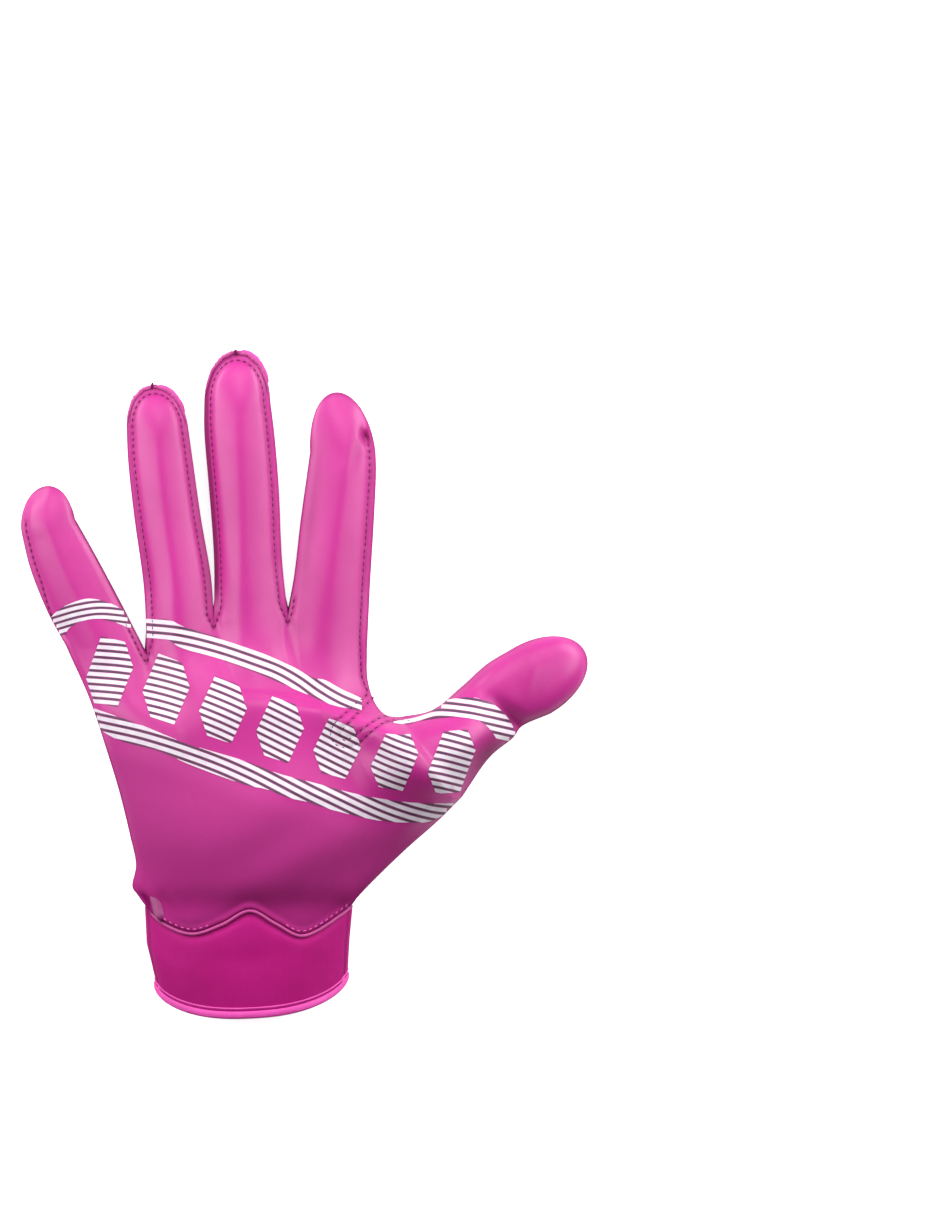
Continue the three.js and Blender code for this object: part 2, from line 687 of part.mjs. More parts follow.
// The bound hem: a closed ring of a square section, just below the cuff's lower edge
function cuffBinding() {
  const positions = [];
  const index = [];
  const turns = 2 * CUFF_COLUMNS;
  const hem = CUFF_STATIONS.at(-1);
  const middle = (hem.left + hem.right) / 2;
  const half = (hem.right - hem.left) / 2;
  const [top, bottom] = [-BINDING.clear, -BINDING.clear - BINDING.length];
  const [outer, inner] = [BINDING.proud, BINDING.proud - BINDING.wall];
  const corners = [[outer, top], [outer, bottom], [inner, bottom], [inner, top]];
  for (let turn = 0; turn < turns; turn += 1) {
    const face = turn < CUFF_COLUMNS ? 1 : -1;
    const step = face > 0 ? turn : turns - turn;
    const [x, y, z] = cuffPoint((2 * step) / CUFF_COLUMNS - 1, 1, face);
    const angle = Math.atan2((z - WRIST_SEAM) / WRIST_ARCH, (x - middle) / half);
    for (const [out, down] of corners) {
      positions.push(x + out * Math.cos(angle), y + down, z + out * Math.sin(angle));
    }
  }
  for (let turn = 0; turn < turns; turn += 1) {
    for (let side = 0; side < 4; side += 1) {
      const here = turn * 4;
      const next = ((turn + 1) % turns) * 4;
      const other = (side + 1) % 4;
      index.push(here + side, next + other, next + side, here + side, here + other, next + other);
    }
  }
  const geometry = new THREE.BufferGeometry();
  geometry.setAttribute("position", new THREE.Float32BufferAttribute(positions, 3));
  geometry.setIndex(index);
  return makeMesh("cuff_binding", geometry, MAGENTA.binding, 0.6);
}

// The raised cord along the wavy seam, which ends a little before the side seams
const PIPING_REACH = 0.94;
function wavePiping() {
  const stops = 30;
  const line = [];
  for (let i = 0; i <= stops; i += 1) {
    const wide = PIPING_REACH * Math.sin(((2 * i) / stops - 1) * (Math.PI / 2));
    const x = lerp(WAVE[0][0], WAVE.at(-1)[0], (wide + 1) / 2);
    const z = WRIST_SEAM + WRIST_ARCH * archAt(wide) - PIPING_RADIUS;
    line.push(new THREE.Vector3(x, waveHeight((wide + 1) / 2), z));
  }
  const section = new THREE.Shape();
  const sides = 6;
  for (let side = 0; side < sides; side += 1) {
    const angle = (2 * Math.PI * side) / sides;
    const at = [PIPING_RADIUS * Math.cos(angle), PIPING_RADIUS * Math.sin(angle)];
    if (side) section.lineTo(...at);
    else section.moveTo(...at);
  }
  const path = new THREE.CatmullRomCurve3(line, false, "centripetal");
  const raw = new THREE.ExtrudeGeometry(section, { extrudePath: path, steps: 36, bevelEnabled: false });
  raw.deleteAttribute("normal");
  raw.deleteAttribute("uv");
  return makeMesh("wave_piping", mergeVertices(raw, 1e-4), MAGENTA.binding, 0.5);
}

// The strap that closes the wrist, flat under the cuff, with rounded free corners
function wristStrap() {
  const { left, right, top, bottom, thickness, corner } = STRAP;
  const outline = new THREE.Shape();
  outline.moveTo(right, bottom);
  outline.lineTo(right, top);
  outline.lineTo(left + corner, top);
  outline.absarc(left + corner, top - corner, corner, Math.PI / 2, Math.PI, false);
  outline.lineTo(left, bottom + corner);
  outline.absarc(left + corner, bottom + corner, corner, Math.PI, 1.5 * Math.PI, false);
  const raw = new THREE.ExtrudeGeometry(outline, { depth: thickness, bevelEnabled: false, curveSegments: 5 });
  raw.deleteAttribute("normal");
  raw.deleteAttribute("uv");
  return makeMesh("wrist_strap", mergeVertices(raw, 1e-4), MAGENTA.strap, 0.8);
}

const glove = new THREE.Group();
glove.add(palmPanel(), backPanel(), thumbBack());
for (let index = 0; index < FINGERS.length - 1; index += 1) glove.add(sideWall(index));
glove.add(cuffHalf("cuff_front", 1), cuffHalf("cuff_back", -1), cuffBinding(), wavePiping(), wristStrap());

// The drawing's origin moves to the middle of the glove's box
const middle = new THREE.Box3().setFromObject(glove).getCenter(new THREE.Vector3());
glove.position.set(-middle.x, -middle.y, 0);

export default glove;
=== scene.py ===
"""A right-hand football receiver's glove that lies palm up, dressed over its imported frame.

The glove is drawn as a pattern: millimetres, x towards the thumb, y towards the fingertips, z up out of
the palm. to_frame() carries a drawn point into the frame's metres. Each surface is a formula over a grid
of two parameters, and each seam, cord and printed line is a profile carried along a path.
"""

import bpy
import numpy as np
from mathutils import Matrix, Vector


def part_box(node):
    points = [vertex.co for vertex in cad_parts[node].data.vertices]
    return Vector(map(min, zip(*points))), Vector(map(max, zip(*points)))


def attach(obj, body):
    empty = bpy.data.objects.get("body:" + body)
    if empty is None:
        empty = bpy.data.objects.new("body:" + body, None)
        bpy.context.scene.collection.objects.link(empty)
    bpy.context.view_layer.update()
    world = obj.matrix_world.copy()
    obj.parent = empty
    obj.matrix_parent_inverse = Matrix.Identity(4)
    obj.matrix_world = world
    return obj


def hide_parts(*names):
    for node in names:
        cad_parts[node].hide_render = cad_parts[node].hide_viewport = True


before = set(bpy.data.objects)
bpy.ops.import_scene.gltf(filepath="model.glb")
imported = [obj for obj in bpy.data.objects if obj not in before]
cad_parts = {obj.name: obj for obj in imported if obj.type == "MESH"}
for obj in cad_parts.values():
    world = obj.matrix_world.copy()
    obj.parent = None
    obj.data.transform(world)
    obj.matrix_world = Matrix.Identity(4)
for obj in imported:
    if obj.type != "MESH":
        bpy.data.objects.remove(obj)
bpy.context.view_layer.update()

MM = 0.001

# The closing strap. The drawing's own places of its left end and upper edge tie the drawing to the frame.
STRAP = {"left": -47.0, "right": 10.0, "top": -83.0, "bottom": -105.0, "thickness": 2.2, "corner": 6.0}
STRAP_LOW, STRAP_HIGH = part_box("wrist_strap")
SHIFT = np.array([STRAP_LOW.x / MM - STRAP["left"], STRAP_HIGH.y / MM - STRAP["top"], 0.0])

# Walls, and how far the back stands in from the palm's cut edge
PALM_WALL = 1.3
BACK_WALL = 1.2
SIDE_WALL = 1.1
CUFF_WALL = 2.2
SEAM_GAP = 0.32
WRIST_GAP = 0.4
THUMB_GAP = 0.3
FLANGE = 2.3
TURNED_SEAM = 0.9

# Heights of the side seam, of the arches above it, and of the backs' rims under the side walls
PALM_SEAM = 12.0
PALM_ARCH = 15.0
HEEL_ARCH = 15.0
WRIST_SEAM = 15.0
WRIST_ARCH = 14.5
THUMB_ROOT_ARCH = 19.0
WEB_LIP = 3.2
# From which share of the half width a back rises to its rim
LIP_START = 0.74

# A finger's stitches run at this share of its half width, with a flat flange of leather outside them
STITCH_LINE = 0.8

# The fingers. A row is left x, left y, right x, right y of a cross line, from the crotch to where the tip
# starts to round. seam and arch are heights at the root and at the tip, and crown is where the soft ridge
# of its front runs at both. The other pairs are for the left and right side: flanged where the stitches are
# on top (else the seam is turned in), the flange's droop, and how much painted shade darkens the flange.
FINGERS = [
    {
        "name": "little",
        "rows": [(-85.1, 14.0, -56.0, 10.8), (-91.4, 25.3, -69.1, 35.9), (-98.1, 41.8, -77.6, 51.5),
                 (-101.5, 55.6, -82.4, 59.8)],
        "tip": (-93.2, 71.6),
        "seam": (11.0, 7.5),
        "arch": (5.0, 3.4),
        "flanged": (True, False),
        "crown": (0.0, 0.05),
        "droop": (1.5, 0.0),
        "shade": (0.0, 0.0),
    },
    {
        "name": "ring",
        "rows": [(-56.0, 10.8, -31.9, 23.0), (-57.1, 34.9, -32.9, 38.5), (-60.5, 59.4, -36.5, 59.4),
                 (-62.9, 81.0, -39.6, 81.0), (-63.4, 92.4, -41.2, 92.4)],
        "tip": (-53.6, 108.1),
        "seam": (11.5, 7.5),
        "arch": (5.5, 3.6),
        "flanged": (True, True),
        "crown": (-0.12, 0.06),
        "droop": (0.4, 1.0),
        "shade": (0.0, 0.3),
    },
    {
        "name": "middle",
        "rows": [(-31.9, 23.0, -5.2, 24.8), (-31.9, 45.0, -7.4, 45.0), (-33.7, 70.2, -8.5, 70.2),
                 (-35.5, 91.8, -10.3, 91.8), (-35.5, 102.6, -11.7, 102.6)],
        "tip": (-23.6, 120.6),
        "seam": (11.5, 7.5),
        "arch": (5.5, 3.6),
        "flanged": (True, True),
        "crown": (-0.3, 0.15),
        "droop": (2.4, 0.6),
        "shade": (1.2, 0.0),
    },
    {
        "name": "index",
        "rows": [(-5.2, 24.8, 23.2, 12.6), (-3.1, 37.8, 24.3, 36.0), (-0.5, 59.4, 25.7, 59.4),
                 (2.0, 77.4, 26.5, 77.4), (2.9, 83.9, 26.3, 83.9)],
        "tip": (12.4, 105.5),
        "seam": (11.5, 7.5),
        "arch": (5.5, 3.6),
        "flanged": (False, True),
        "crown": (-0.15, 0.2),
        "droop": (0.0, 0.6),
        "shade": (0.0, 0.0),
    },
]
THUMB = {
    "name": "thumb",
    "rows": [(35.1, -11.5, 57.4, -40.3), (46.6, -9.0, 67.5, -25.9), (57.4, -0.4, 76.1, -18.7),
             (66.4, 7.6, 78.7, -15.1), (76.5, 13.7, 89.1, -10.4)],
    "tip": (101.7, 12.2),
    "seam": (PALM_SEAM, 8.5),
    "arch": (THUMB_ROOT_ARCH, 7.0),
    "flanged": (False, False),
}

# The palm's own edges in plan, from the wrist upwards
ULNAR_EDGE = [(-61.0, -73.1), (-59.9, -64.8), (-62.1, -54.0), (-66.1, -37.8), (-71.1, -21.6),
              (-76.5, -5.4), (-83.7, 10.8), (-85.1, 14.0)]
HEEL_EDGE = [(24.3, -71.6), (36.9, -59.4), (49.1, -48.6), (57.4, -40.3)]
KNUCKLE_EDGE = [(35.1, -11.5), (30.1, -10.8), (26.2, -6.5), (23.5, 1.8), (23.2, 12.6)]

# The wavy seam between palm and cuff, and the x of the cuff's sides at its seam, middle and hem
WAVE = [(-56.6, -78.1), (-52.0, -84.0), (-39.8, -89.2), (-29.0, -86.0), (-18.5, -80.9), (-9.2, -85.6),
        (0.2, -89.9), (14.4, -82.2), (18.0, -79.2)]
CUFF_LEFT = (-56.6, -56.0, -53.0)
CUFF_RIGHT = (18.0, 17.0, 16.4)
# The cuff's back: the height of its floor, and the exponent that makes its sides round or square
CUFF_FLOOR = 2.6
CUFF_SQUARE = 5
# Both at its seam, where it meets the squarer back of the hand. The floor changes over drop and the
# exponent over reach, shares of the way down to the hem.
CUFF_MEET = {"floor": 0.15, "drop": 0.09, "square": 34, "reach": 0.5}
# The hem's y at the sides, how far it dips in the middle in front (1) and behind (-1), and its rise towards
# the thumb; then the y of the seam behind
HEM_SIDE = -103.4
HEM_DROP = {1: 12.2, -1: 4.0}
HEM_TILT = 1.6
BACK_SEAM = -80.5
# The bound hem: its length and wall, how far it stands out from the cuff's face and, as a clear below 0,
# how far it reaches over the cuff's end; then the share of the cuff's length that is tucked into it
BINDING = {"length": 4.3, "wall": 3.4, "proud": 0.45, "clear": -0.4}
CUFF_TUCK = 0.05
# The piping: the radius and the most that the edges beside it keep clear, how far they run under it, its
# height over the wrist's arch, its cord's own radius, and the share of the seam that it covers
PIPING_RADIUS = 0.8
PIPING_MOST = 2
PIPING_CLEAR = -0.6
PIPING_RISE = 0.35
CORD_RADIUS = 0.6
PIPING_REACH = 0.995

# Rows of the palm up to the thumb, beside it, and above it up to the finger roots
HEEL_ROWS = 44
THUMB_ROWS = 44
KNUCKLE_ROWS = 22
PALM_ROWS = HEEL_ROWS + THUMB_ROWS + KNUCKLE_ROWS
THUMB_START = HEEL_ROWS / PALM_ROWS
THUMB_END = (HEEL_ROWS + THUMB_ROWS) / PALM_ROWS
# The exponent that crowds the heel's rows towards the wrist
WRIST_CROWDING = 1.5
# Rows of a finger's shaft and round its tip
SHAFT_ROWS = 84
TIP_ROWS = 22

# From which share of the palm's length its edges end in flanges as the fingers' do
FLANGE_FROM = 0.93

# What a point of a sheet's rim does when the sheet gets its wall
FREE, DOWN, LEVEL = 0, 1, 2


def to_frame(points):
    """Drawn millimetres to the frame's metres: add the shift, then times 0.001."""
    return (np.asarray(points, float) + SHIFT) * MM


def lerp(a, b, k):
    """The point k of the way from a to b."""
    return a + (b - a) * k


def smooth(low, high, x):
    """0 up to low and 1 from high; between them 3k² - 2k³, with k the share of the way."""
    k = np.clip((x - low) / (high - low), 0, 1)
    return k * k * (3 - 2 * k)


def bump(x, width):
    """A soft hill: e to the minus (x / width) squared."""
    return np.exp(-((x / width) ** 2))


def arch_at(across, steep=0.6, square=2.4):
    """The rise of a soft front, 1 in the middle and 0 at the edge: (1 - |across|^square)^steep."""
    edge = np.minimum(np.abs(across), 1)
    return (1 - edge**square) ** steep


def lip_at(across):
    """The rise of a side: 0 up to LIP_START, then a quarter round, 1 - sqrt(1 - x²), up to 1."""
    x = np.clip((np.abs(across) - LIP_START) / (1 - LIP_START), 0, 1)
    return 1 - np.sqrt(1 - x * x)


class PlanCurve:
    """A smooth curve through plan points. Each span is a cubic whose end tangents come from the points on
    both sides, with knots spaced by the square root of the points' distance."""

    def __init__(self, points, density=80):
        p = np.asarray(points, float)
        ends = np.vstack([2 * p[0] - p[1], p, 2 * p[-1] - p[-2]])
        gap = np.sqrt(np.linalg.norm(np.diff(ends, axis=0), axis=1))[:, None]
        x0, x1, x2, x3 = ends[:-3], ends[1:-2], ends[2:-1], ends[3:]
        d0, d1, d2 = gap[:-2], gap[1:-1], gap[2:]
        start = ((x1 - x0) / d0 - (x2 - x0) / (d0 + d1) + (x2 - x1) / d1) * d1
        end = ((x2 - x1) / d1 - (x3 - x1) / (d1 + d2) + (x3 - x2) / d2) * d1
        k = np.linspace(0, 1, density, endpoint=False)[None, :, None]
        square, cube = (3 * (x2 - x1) - 2 * start - end)[:, None], (2 * (x1 - x2) + start + end)[:, None]
        spans = x1[:, None] + start[:, None] * k + square * k**2 + cube * k**3
        self.places = np.vstack([spans.reshape(-1, p.shape[1]), p[-1:]])
        self.steps = np.linspace(0, 1, len(self.places))
        run = np.concatenate([[0], np.cumsum(np.linalg.norm(np.diff(self.places, axis=0), axis=1))])
        self.length = run[-1]
        self.evenly = run / run[-1]

    def look(self, steps, k):
        """The place where steps pass k."""
        k = np.clip(k, 0, 1)
        return np.stack([np.interp(k, steps, axis) for axis in self.places.T], -1)

    def even(self, k):
        """The place at share k of the length."""
        return self.look(self.evenly, k)

    def by_points(self, k):
        """The place at share k of the way, with each span as long as any other."""
        return self.look(self.steps, k)


def on_disc(across, q):
    """A square mapped on half a disc: side = across·sqrt(1 - q²/2), ahead = q·sqrt(1 - across²/2)."""
    return across * np.sqrt(1 - q * q / 2), q * np.sqrt(1 - across * across / 2)


def edge_measure(across, q):
    """Distance from a finger's middle line to its edge, 0 to 1, also round the tip."""
    side, ahead = on_disc(across, q)
    return np.minimum(1, np.hypot(side, ahead))


# Which share of a finger's change of height falls on its shaft, and which on its tip
FALL = {"shaft": 0.7, "tip": 0.3}


def finger_level(pair, v, q):
    """A height at v up the shaft and q round the tip: from pair[0] to pair[1] in the shares of FALL."""
    return lerp(pair[0], pair[1], FALL["shaft"] * v + FALL["tip"] * q)


def finger_insets(finger, inset):
    """The inset on the left and right side: as given under a flange, TURNED_SEAM where turned in."""
    return [inset if flanged else min(inset, TURNED_SEAM) for flanged in finger["flanged"]]


def finger_plan(finger, insets, root):
    """A finger's outline drawn in by the insets. The shaft runs between two smooth edge curves; the tip is
    half an ellipse, filled by the mapping of a square on half a disc."""
    rows = np.array(finger["rows"], float)
    left, right = rows[:, :2].copy(), rows[:, 2:].copy()
    over = (right - left) / np.linalg.norm(right - left, axis=1, keepdims=True)
    left += over * insets[0]
    right -= over * insets[1]
    left[0], right[0] = root
    left_edge, right_edge = PlanCurve(left), PlanCurve(right)
    centre = (left[-1] + right[-1]) / 2
    half = (right[-1] - left[-1]) / 2
    reach = np.array(finger["tip"]) - centre
    reach = reach * (1 - np.mean(insets) / np.linalg.norm(reach))

    def at(across, v, q):
        side, ahead = on_disc(across, q)
        shaft = lerp(left_edge.by_points(v), right_edge.by_points(v), ((across + 1) / 2)[..., None])
        rounded = centre + half * side[..., None] + reach * ahead[..., None]
        return np.where((q > 0)[..., None], rounded, shaft)

    return at


def root_ends(index, inset):
    """The ends of a finger's root row drawn in by inset: a crotch moves straight down the palm."""
    left, right = np.array(FINGERS[index]["rows"][0][:2]), np.array(FINGERS[index]["rows"][0][2:])
    outer_left, outer_right = index == 0, index == len(FINGERS) - 1
    left = left + (np.array([inset, 0]) if outer_left else np.array([0, -inset]))
    right = right - (np.array([inset, 0]) if outer_right else np.array([0, inset]))
    return left, right


def thumb_root(inset):
    """The ends of the thumb's root row, drawn in along the row by inset."""
    left, right = np.array(THUMB["rows"][0][:2]), np.array(THUMB["rows"][0][2:])
    over = (right - left) / np.linalg.norm(right - left)
    return left + over * inset, right - over * inset


def across_thumb(up):
    """Where a palm height falls across the thumb's root: -1 at the index side, 1 at the heel side."""
    return 1 - 2 * (up - THUMB_START) / (THUMB_END - THUMB_START)


def finger_place(across):
    """Which finger a place over the palm's width belongs to, and where it lies across it, -1 to 1."""
    place = np.minimum(across * len(FINGERS), len(FINGERS) - 1e-9)
    index = np.floor(place).astype(int)
    return index, 2 * (place - index) - 1


# How the palm's rows sag towards the web, so that none of them cross: the depth's factor, over which share
# of the width and of the length, and from where it dies out below the finger roots
WEB_SAG = {"depth": 36.0, "wide": 0.3, "tall": 0.06, "until": 0.93}


def web_sag(across, up):
    """How far a row of the palm sags: depth · t · (1 - t) · exp(-t / wide) for the share t from the
    thumb's side, on the rows beside the web and dying out over the others."""
    t = 1 - across
    sag = WEB_SAG["depth"] * t * (1 - t) * np.exp(-t / WEB_SAG["wide"])
    return sag * bump(up - THUMB_END, WEB_SAG["tall"]) * smooth(1, WEB_SAG["until"], up)


def palm_plan(inset, bottom):
    """The palm's plan: a surface patch between four edge curves. A point is the mix of the side curves
    plus the mix of the end curves less the mix of the four corners, with the rows' sag beside the web."""
    low, high = thumb_root(inset)[1], thumb_root(inset)[0]
    roots = [root_ends(index, inset) for index in range(len(FINGERS))]
    shift = np.array([inset, 0.0])
    ulnar = PlanCurve([bottom(np.zeros(1))[0], *(np.array(ULNAR_EDGE[:-1]) + shift), roots[0][0]])
    heel = PlanCurve([bottom(np.ones(1))[0], *(np.array(HEEL_EDGE[:-1]) - shift), low])
    knuckle = PlanCurve([high, *(np.array(KNUCKLE_EDGE[1:-1]) - shift), roots[-1][1]])
    lefts, rights = np.array([r[0] for r in roots]), np.array([r[1] for r in roots])

    def right_at(up):
        thumb = lerp(low, high, ((up - THUMB_START) / (THUMB_END - THUMB_START))[..., None])
        above = knuckle.even((up - THUMB_END) / (1 - THUMB_END))
        side = np.where((up < THUMB_END)[..., None], thumb, above)
        return np.where((up <= THUMB_START)[..., None], heel.even(up / THUMB_START), side)

    def top_at(across):
        index, local = finger_place(across)
        return lerp(lefts[index], rights[index], ((local + 1) / 2)[..., None])

    def at(across, up):
        a, u = across[..., None], up[..., None]
        corners = lerp(
            lerp(bottom(np.zeros(1))[0], bottom(np.ones(1))[0], a),
            lerp(top_at(np.zeros(1))[0], top_at(np.ones(1))[0], a),
            u,
        )
        place = lerp(ulnar.even(up), right_at(up), a) + lerp(bottom(across), top_at(across), u) - corners
        return place - np.stack([np.zeros_like(across), web_sag(across, up)], -1)

    return at


# Up to which share of the palm's length its seam falls from the wrist's height to the palm's, and from
# which share on to the finger roots'
SEAM_FALL = {"wrist": 0.25, "roots": 0.7}


def palm_seam(up):
    """Height of the side seam from the wrist up to the finger roots."""
    wrist = lerp(WRIST_SEAM, PALM_SEAM, smooth(0, SEAM_FALL["wrist"], up))
    return lerp(wrist, FINGERS[0]["seam"][0], smooth(SEAM_FALL["roots"], 1, up))


# The ball of the thumb: how sharply it falls off lengthwise, and the shares of the half width from which it
# rises and from which the root's arch takes over
BALL = {"sharp": 0.9, "from": 0.3, "root": 0.85}


def thumb_rise(wide, up):
    """The ball of the thumb: a hill, e^-(sharp · |across|³) lengthwise, that dies out over the palm, with
    the root's arch at the very edge."""
    across = across_thumb(up)
    hill = np.exp(-BALL["sharp"] * np.abs(across) ** 3)
    height = lerp(hill, arch_at(across), smooth(BALL["root"], 1, wide))
    return THUMB_ROOT_ARCH * smooth(BALL["from"], 1, wide) * height


# A finger front's section: how steeply it falls to its stitches, how broad its ridge is on the shaft and at
# the tip, where the shaft's ridge starts to broaden, and how far across it reaches to a turned-in seam
FRONT = {"steep": 0.62, "shaft": 1.15, "tip": 1.45, "from": 0.85, "turned": 0.98}
# The arch of the thumb's shaft starts this much above the tip's, and takes over from the root's high arch
# up to this share of the shaft
THUMB_FRONT = {"rise": 3, "reach": 0.6}


def by_side(pair, side, middle=0.3):
    """A value for the left and one for the right side, passing into each other from -middle to middle."""
    return lerp(pair[0], pair[1], smooth(-middle, middle, side))


def off_crown(finger, across, v):
    """across measured from the ridge instead of the middle, still -1 and 1 at the edges."""
    crown = lerp(*finger["crown"], v)
    return (across - crown) / np.where(across > crown, 1 - crown, 1 + crown)


def finger_front(finger, across, v, q):
    """A finger front's height: the seam's, plus an arch inside the stitches with its ridge on the crown."""
    side, _ = on_disc(across, q)
    reach = by_side([STITCH_LINE if flanged else FRONT["turned"] for flanged in finger["flanged"]], side)
    inside = off_crown(finger, np.clip(across / reach, -1, 1), v)
    broad = lerp(FRONT["shaft"], FRONT["tip"], smooth(FRONT["from"], 1, v))
    measure = np.where(q > 0, edge_measure(inside, q / reach), np.abs(inside))
    arch = arch_at(measure, FRONT["steep"], broad)
    return finger_level(finger["seam"], v, q) + finger_level(finger["arch"], v, q) * arch


def thumb_front(across, v, q):
    """The thumb front's height: the root's high arch falling to the tip's low one."""
    tip_arch = lerp(THUMB["arch"][1] + THUMB_FRONT["rise"], THUMB["arch"][1], v)
    crown = lerp(THUMB_ROOT_ARCH, tip_arch, smooth(0, THUMB_FRONT["reach"], v))
    return finger_level(THUMB["seam"], v, q) + crown * arch_at(edge_measure(across, q))


# The swell above the heel: its height, its place and length as shares of the palm's length, and the share
# of the half width over which it dies out towards the thumb
PALM_SWELL = {"rise": 5.5, "at": 0.33, "long": 0.18, "wide": 0.8}
# Shares of the palm's length: where the wrist's arch has become the heel's, between where the heel's
# becomes the palm's, and from where the finger fronts take over
ARCH_SHARES = {"heel": 0.16, "palm": (0.3, 0.7), "fingers": 0.72}


def palm_front(across, up):
    """The palm front's height: the seam's, plus the arch of the hand and the ball of the thumb, passing
    into the finger fronts at the top."""
    wide = 2 * across - 1
    crown = lerp(WRIST_ARCH, HEEL_ARCH, smooth(0, ARCH_SHARES["heel"], up))
    crown = lerp(crown, PALM_ARCH, smooth(*ARCH_SHARES["palm"], up))
    swell = PALM_SWELL["rise"] * bump(up - PALM_SWELL["at"], PALM_SWELL["long"])
    swell = swell * smooth(PALM_SWELL["wide"], 0, wide)
    hand = palm_seam(up) + (crown + swell) * arch_at(wide) + thumb_rise(wide, up)
    index, local = finger_place(across)
    zero = np.zeros_like(local)
    fronts = np.stack([finger_front(finger, local, zero, zero) for finger in FINGERS])
    front = np.take_along_axis(fronts, index[None], 0)[0]
    return lerp(hand, front, smooth(ARCH_SHARES["fingers"], 1, up))


# Dents and swells of the leather: a long soft hollow each, turned in the plan, a swell where depth is
# below 0. dark is how much painted shade darkens it; rows with no depth are painted shade alone
LEATHER_FOLDS = [
    {"x": -2.0, "y": 14.0, "depth": 0.5, "long": 12.0, "wide": 5.0, "turn": 1.2, "dark": 0.0},
    {"x": 22.0, "y": -21.0, "depth": 2.2, "long": 12.0, "wide": 7.0, "turn": -0.5, "dark": 0.0},
    {"x": 75.5, "y": -13.0, "depth": 4.0, "long": 9.0, "wide": 3.4, "turn": 2.3, "dark": 0.25},
    {"x": 66.0, "y": -25.0, "depth": 0.5, "long": 11.0, "wide": 4.2, "turn": 1.1, "dark": 1.0},
    {"x": 82.5, "y": 5.0, "depth": -0.6, "long": 9.0, "wide": 2.6, "turn": 1.4, "dark": 0.0},
    {"x": 90.5, "y": 3.0, "depth": 0.4, "long": 8.0, "wide": 3.5, "turn": 1.2, "dark": 0.0},
    {"x": 61.0, "y": -20.0, "depth": -1.6, "long": 12.0, "wide": 8.0, "turn": 0.6, "dark": 0.0},
    {"x": 22.4, "y": 89.4, "depth": 2.3, "long": 2.6, "wide": 1.3, "turn": 1.9, "dark": 0.9},
    {"x": 19.8, "y": 84.0, "depth": 0.5, "long": 7.0, "wide": 2.4, "turn": 1.25, "dark": 0.15},
    {"x": -57.4, "y": -75.6, "depth": 1.0, "long": 3.5, "wide": 1.3, "turn": 2.5, "dark": 1.2},
    {"x": -55.2, "y": -78.6, "depth": 1.0, "long": 3.4, "wide": 1.2, "turn": 1.95, "dark": 1.3},
    {"x": -49.5, "y": -77.5, "depth": 0.8, "long": 4.0, "wide": 1.8, "turn": 2.1, "dark": 0.2},
    {"x": -70.0, "y": 4.0, "depth": 0.9, "long": 12.0, "wide": 5.0, "turn": 1.2, "dark": 0.0},
    {"x": 2.8, "y": 60.0, "depth": 0.0, "long": 24.0, "wide": 2.6, "turn": 1.44, "dark": 0.4},
    {"x": 2.0, "y": -62.0, "depth": -2.4, "long": 26.0, "wide": 9.0, "turn": 0.38, "dark": 0.0},
    {"x": 28.0, "y": -37.0, "depth": -1.2, "long": 13.0, "wide": 8.0, "turn": 0.5, "dark": 0.0},
    {"x": 24.0, "y": -71.0, "depth": 0.0, "long": 16.0, "wide": 7.0, "turn": 0.85, "dark": 0.3},
    {"x": 43.0, "y": -52.0, "depth": 0.8, "long": 12.0, "wide": 3.0, "turn": 0.85, "dark": 0.0},
]


def fold_depth(xy, folds, column="depth"):
    """How deep the folds are at plan points, or another column of theirs: the sum of that column times
    e^-(along² + aside²)."""
    deep = np.zeros(xy.shape[:-1])
    for fold in folds:
        dx, dy = xy[..., 0] - fold["x"], xy[..., 1] - fold["y"]
        along = (dx * np.cos(fold["turn"]) + dy * np.sin(fold["turn"])) / fold["long"]
        aside = (dy * np.cos(fold["turn"]) - dx * np.sin(fold["turn"])) / fold["wide"]
        deep += fold[column] * np.exp(-along * along - aside * aside)
    return deep


class Sheet:
    """A cut sheet: grids of points that share their common rows, their quads, each point's rim rule, and
    its place: which part it is of, and its across, v and q there."""

    def __init__(self):
        self.points, self.rim, self.faces, self.places = [], [], [], []
        self.count = 0

    def add(self, xyz, rim, first_row=None, place=(0, 0, 0, 0)):
        """Adds a grid of rows and columns. first_row holds the numbers of points that its first row uses
        again. Returns the grid of point numbers."""
        skip = 0 if first_row is None else 1
        index = np.empty(xyz.shape[:2], int)
        if skip:
            index[0] = first_row
        index[skip:] = self.count + np.arange(index[skip:].size).reshape(index[skip:].shape)
        self.count += index[skip:].size
        self.points.append(xyz[skip:].reshape(-1, 3))
        self.rim.append(np.broadcast_to(rim, index.shape)[skip:].reshape(-1))
        self.places.append(np.stack([np.broadcast_to(p, index.shape)[skip:].reshape(-1) for p in place]))
        corners = [index[:-1, :-1], index[:-1, 1:], index[1:, 1:], index[1:, :-1]]
        self.faces.append(np.stack(corners, -1).reshape(-1, 4))
        return index

    def whole(self):
        """All points, all quads and each point's rim rule."""
        return np.vstack(self.points), np.vstack(self.faces), np.concatenate(self.rim)

    def parts(self):
        """Each point's part, across, v and q."""
        return np.hstack(self.places)


# The parts of a hand sheet beside the fingers, 0 to 3
PALM, THUMB_PART = -1, 4


def cell_places(middle_at, edge_cells, middle_cells):
    """Column places from -1 to 1: middle_cells even steps within ±middle_at and edge_cells outside each."""
    inner = np.linspace(-middle_at, middle_at, middle_cells + 1)
    outer = np.linspace(middle_at, 1, edge_cells + 1)[1:]
    return np.concatenate([-outer[::-1], inner, outer])


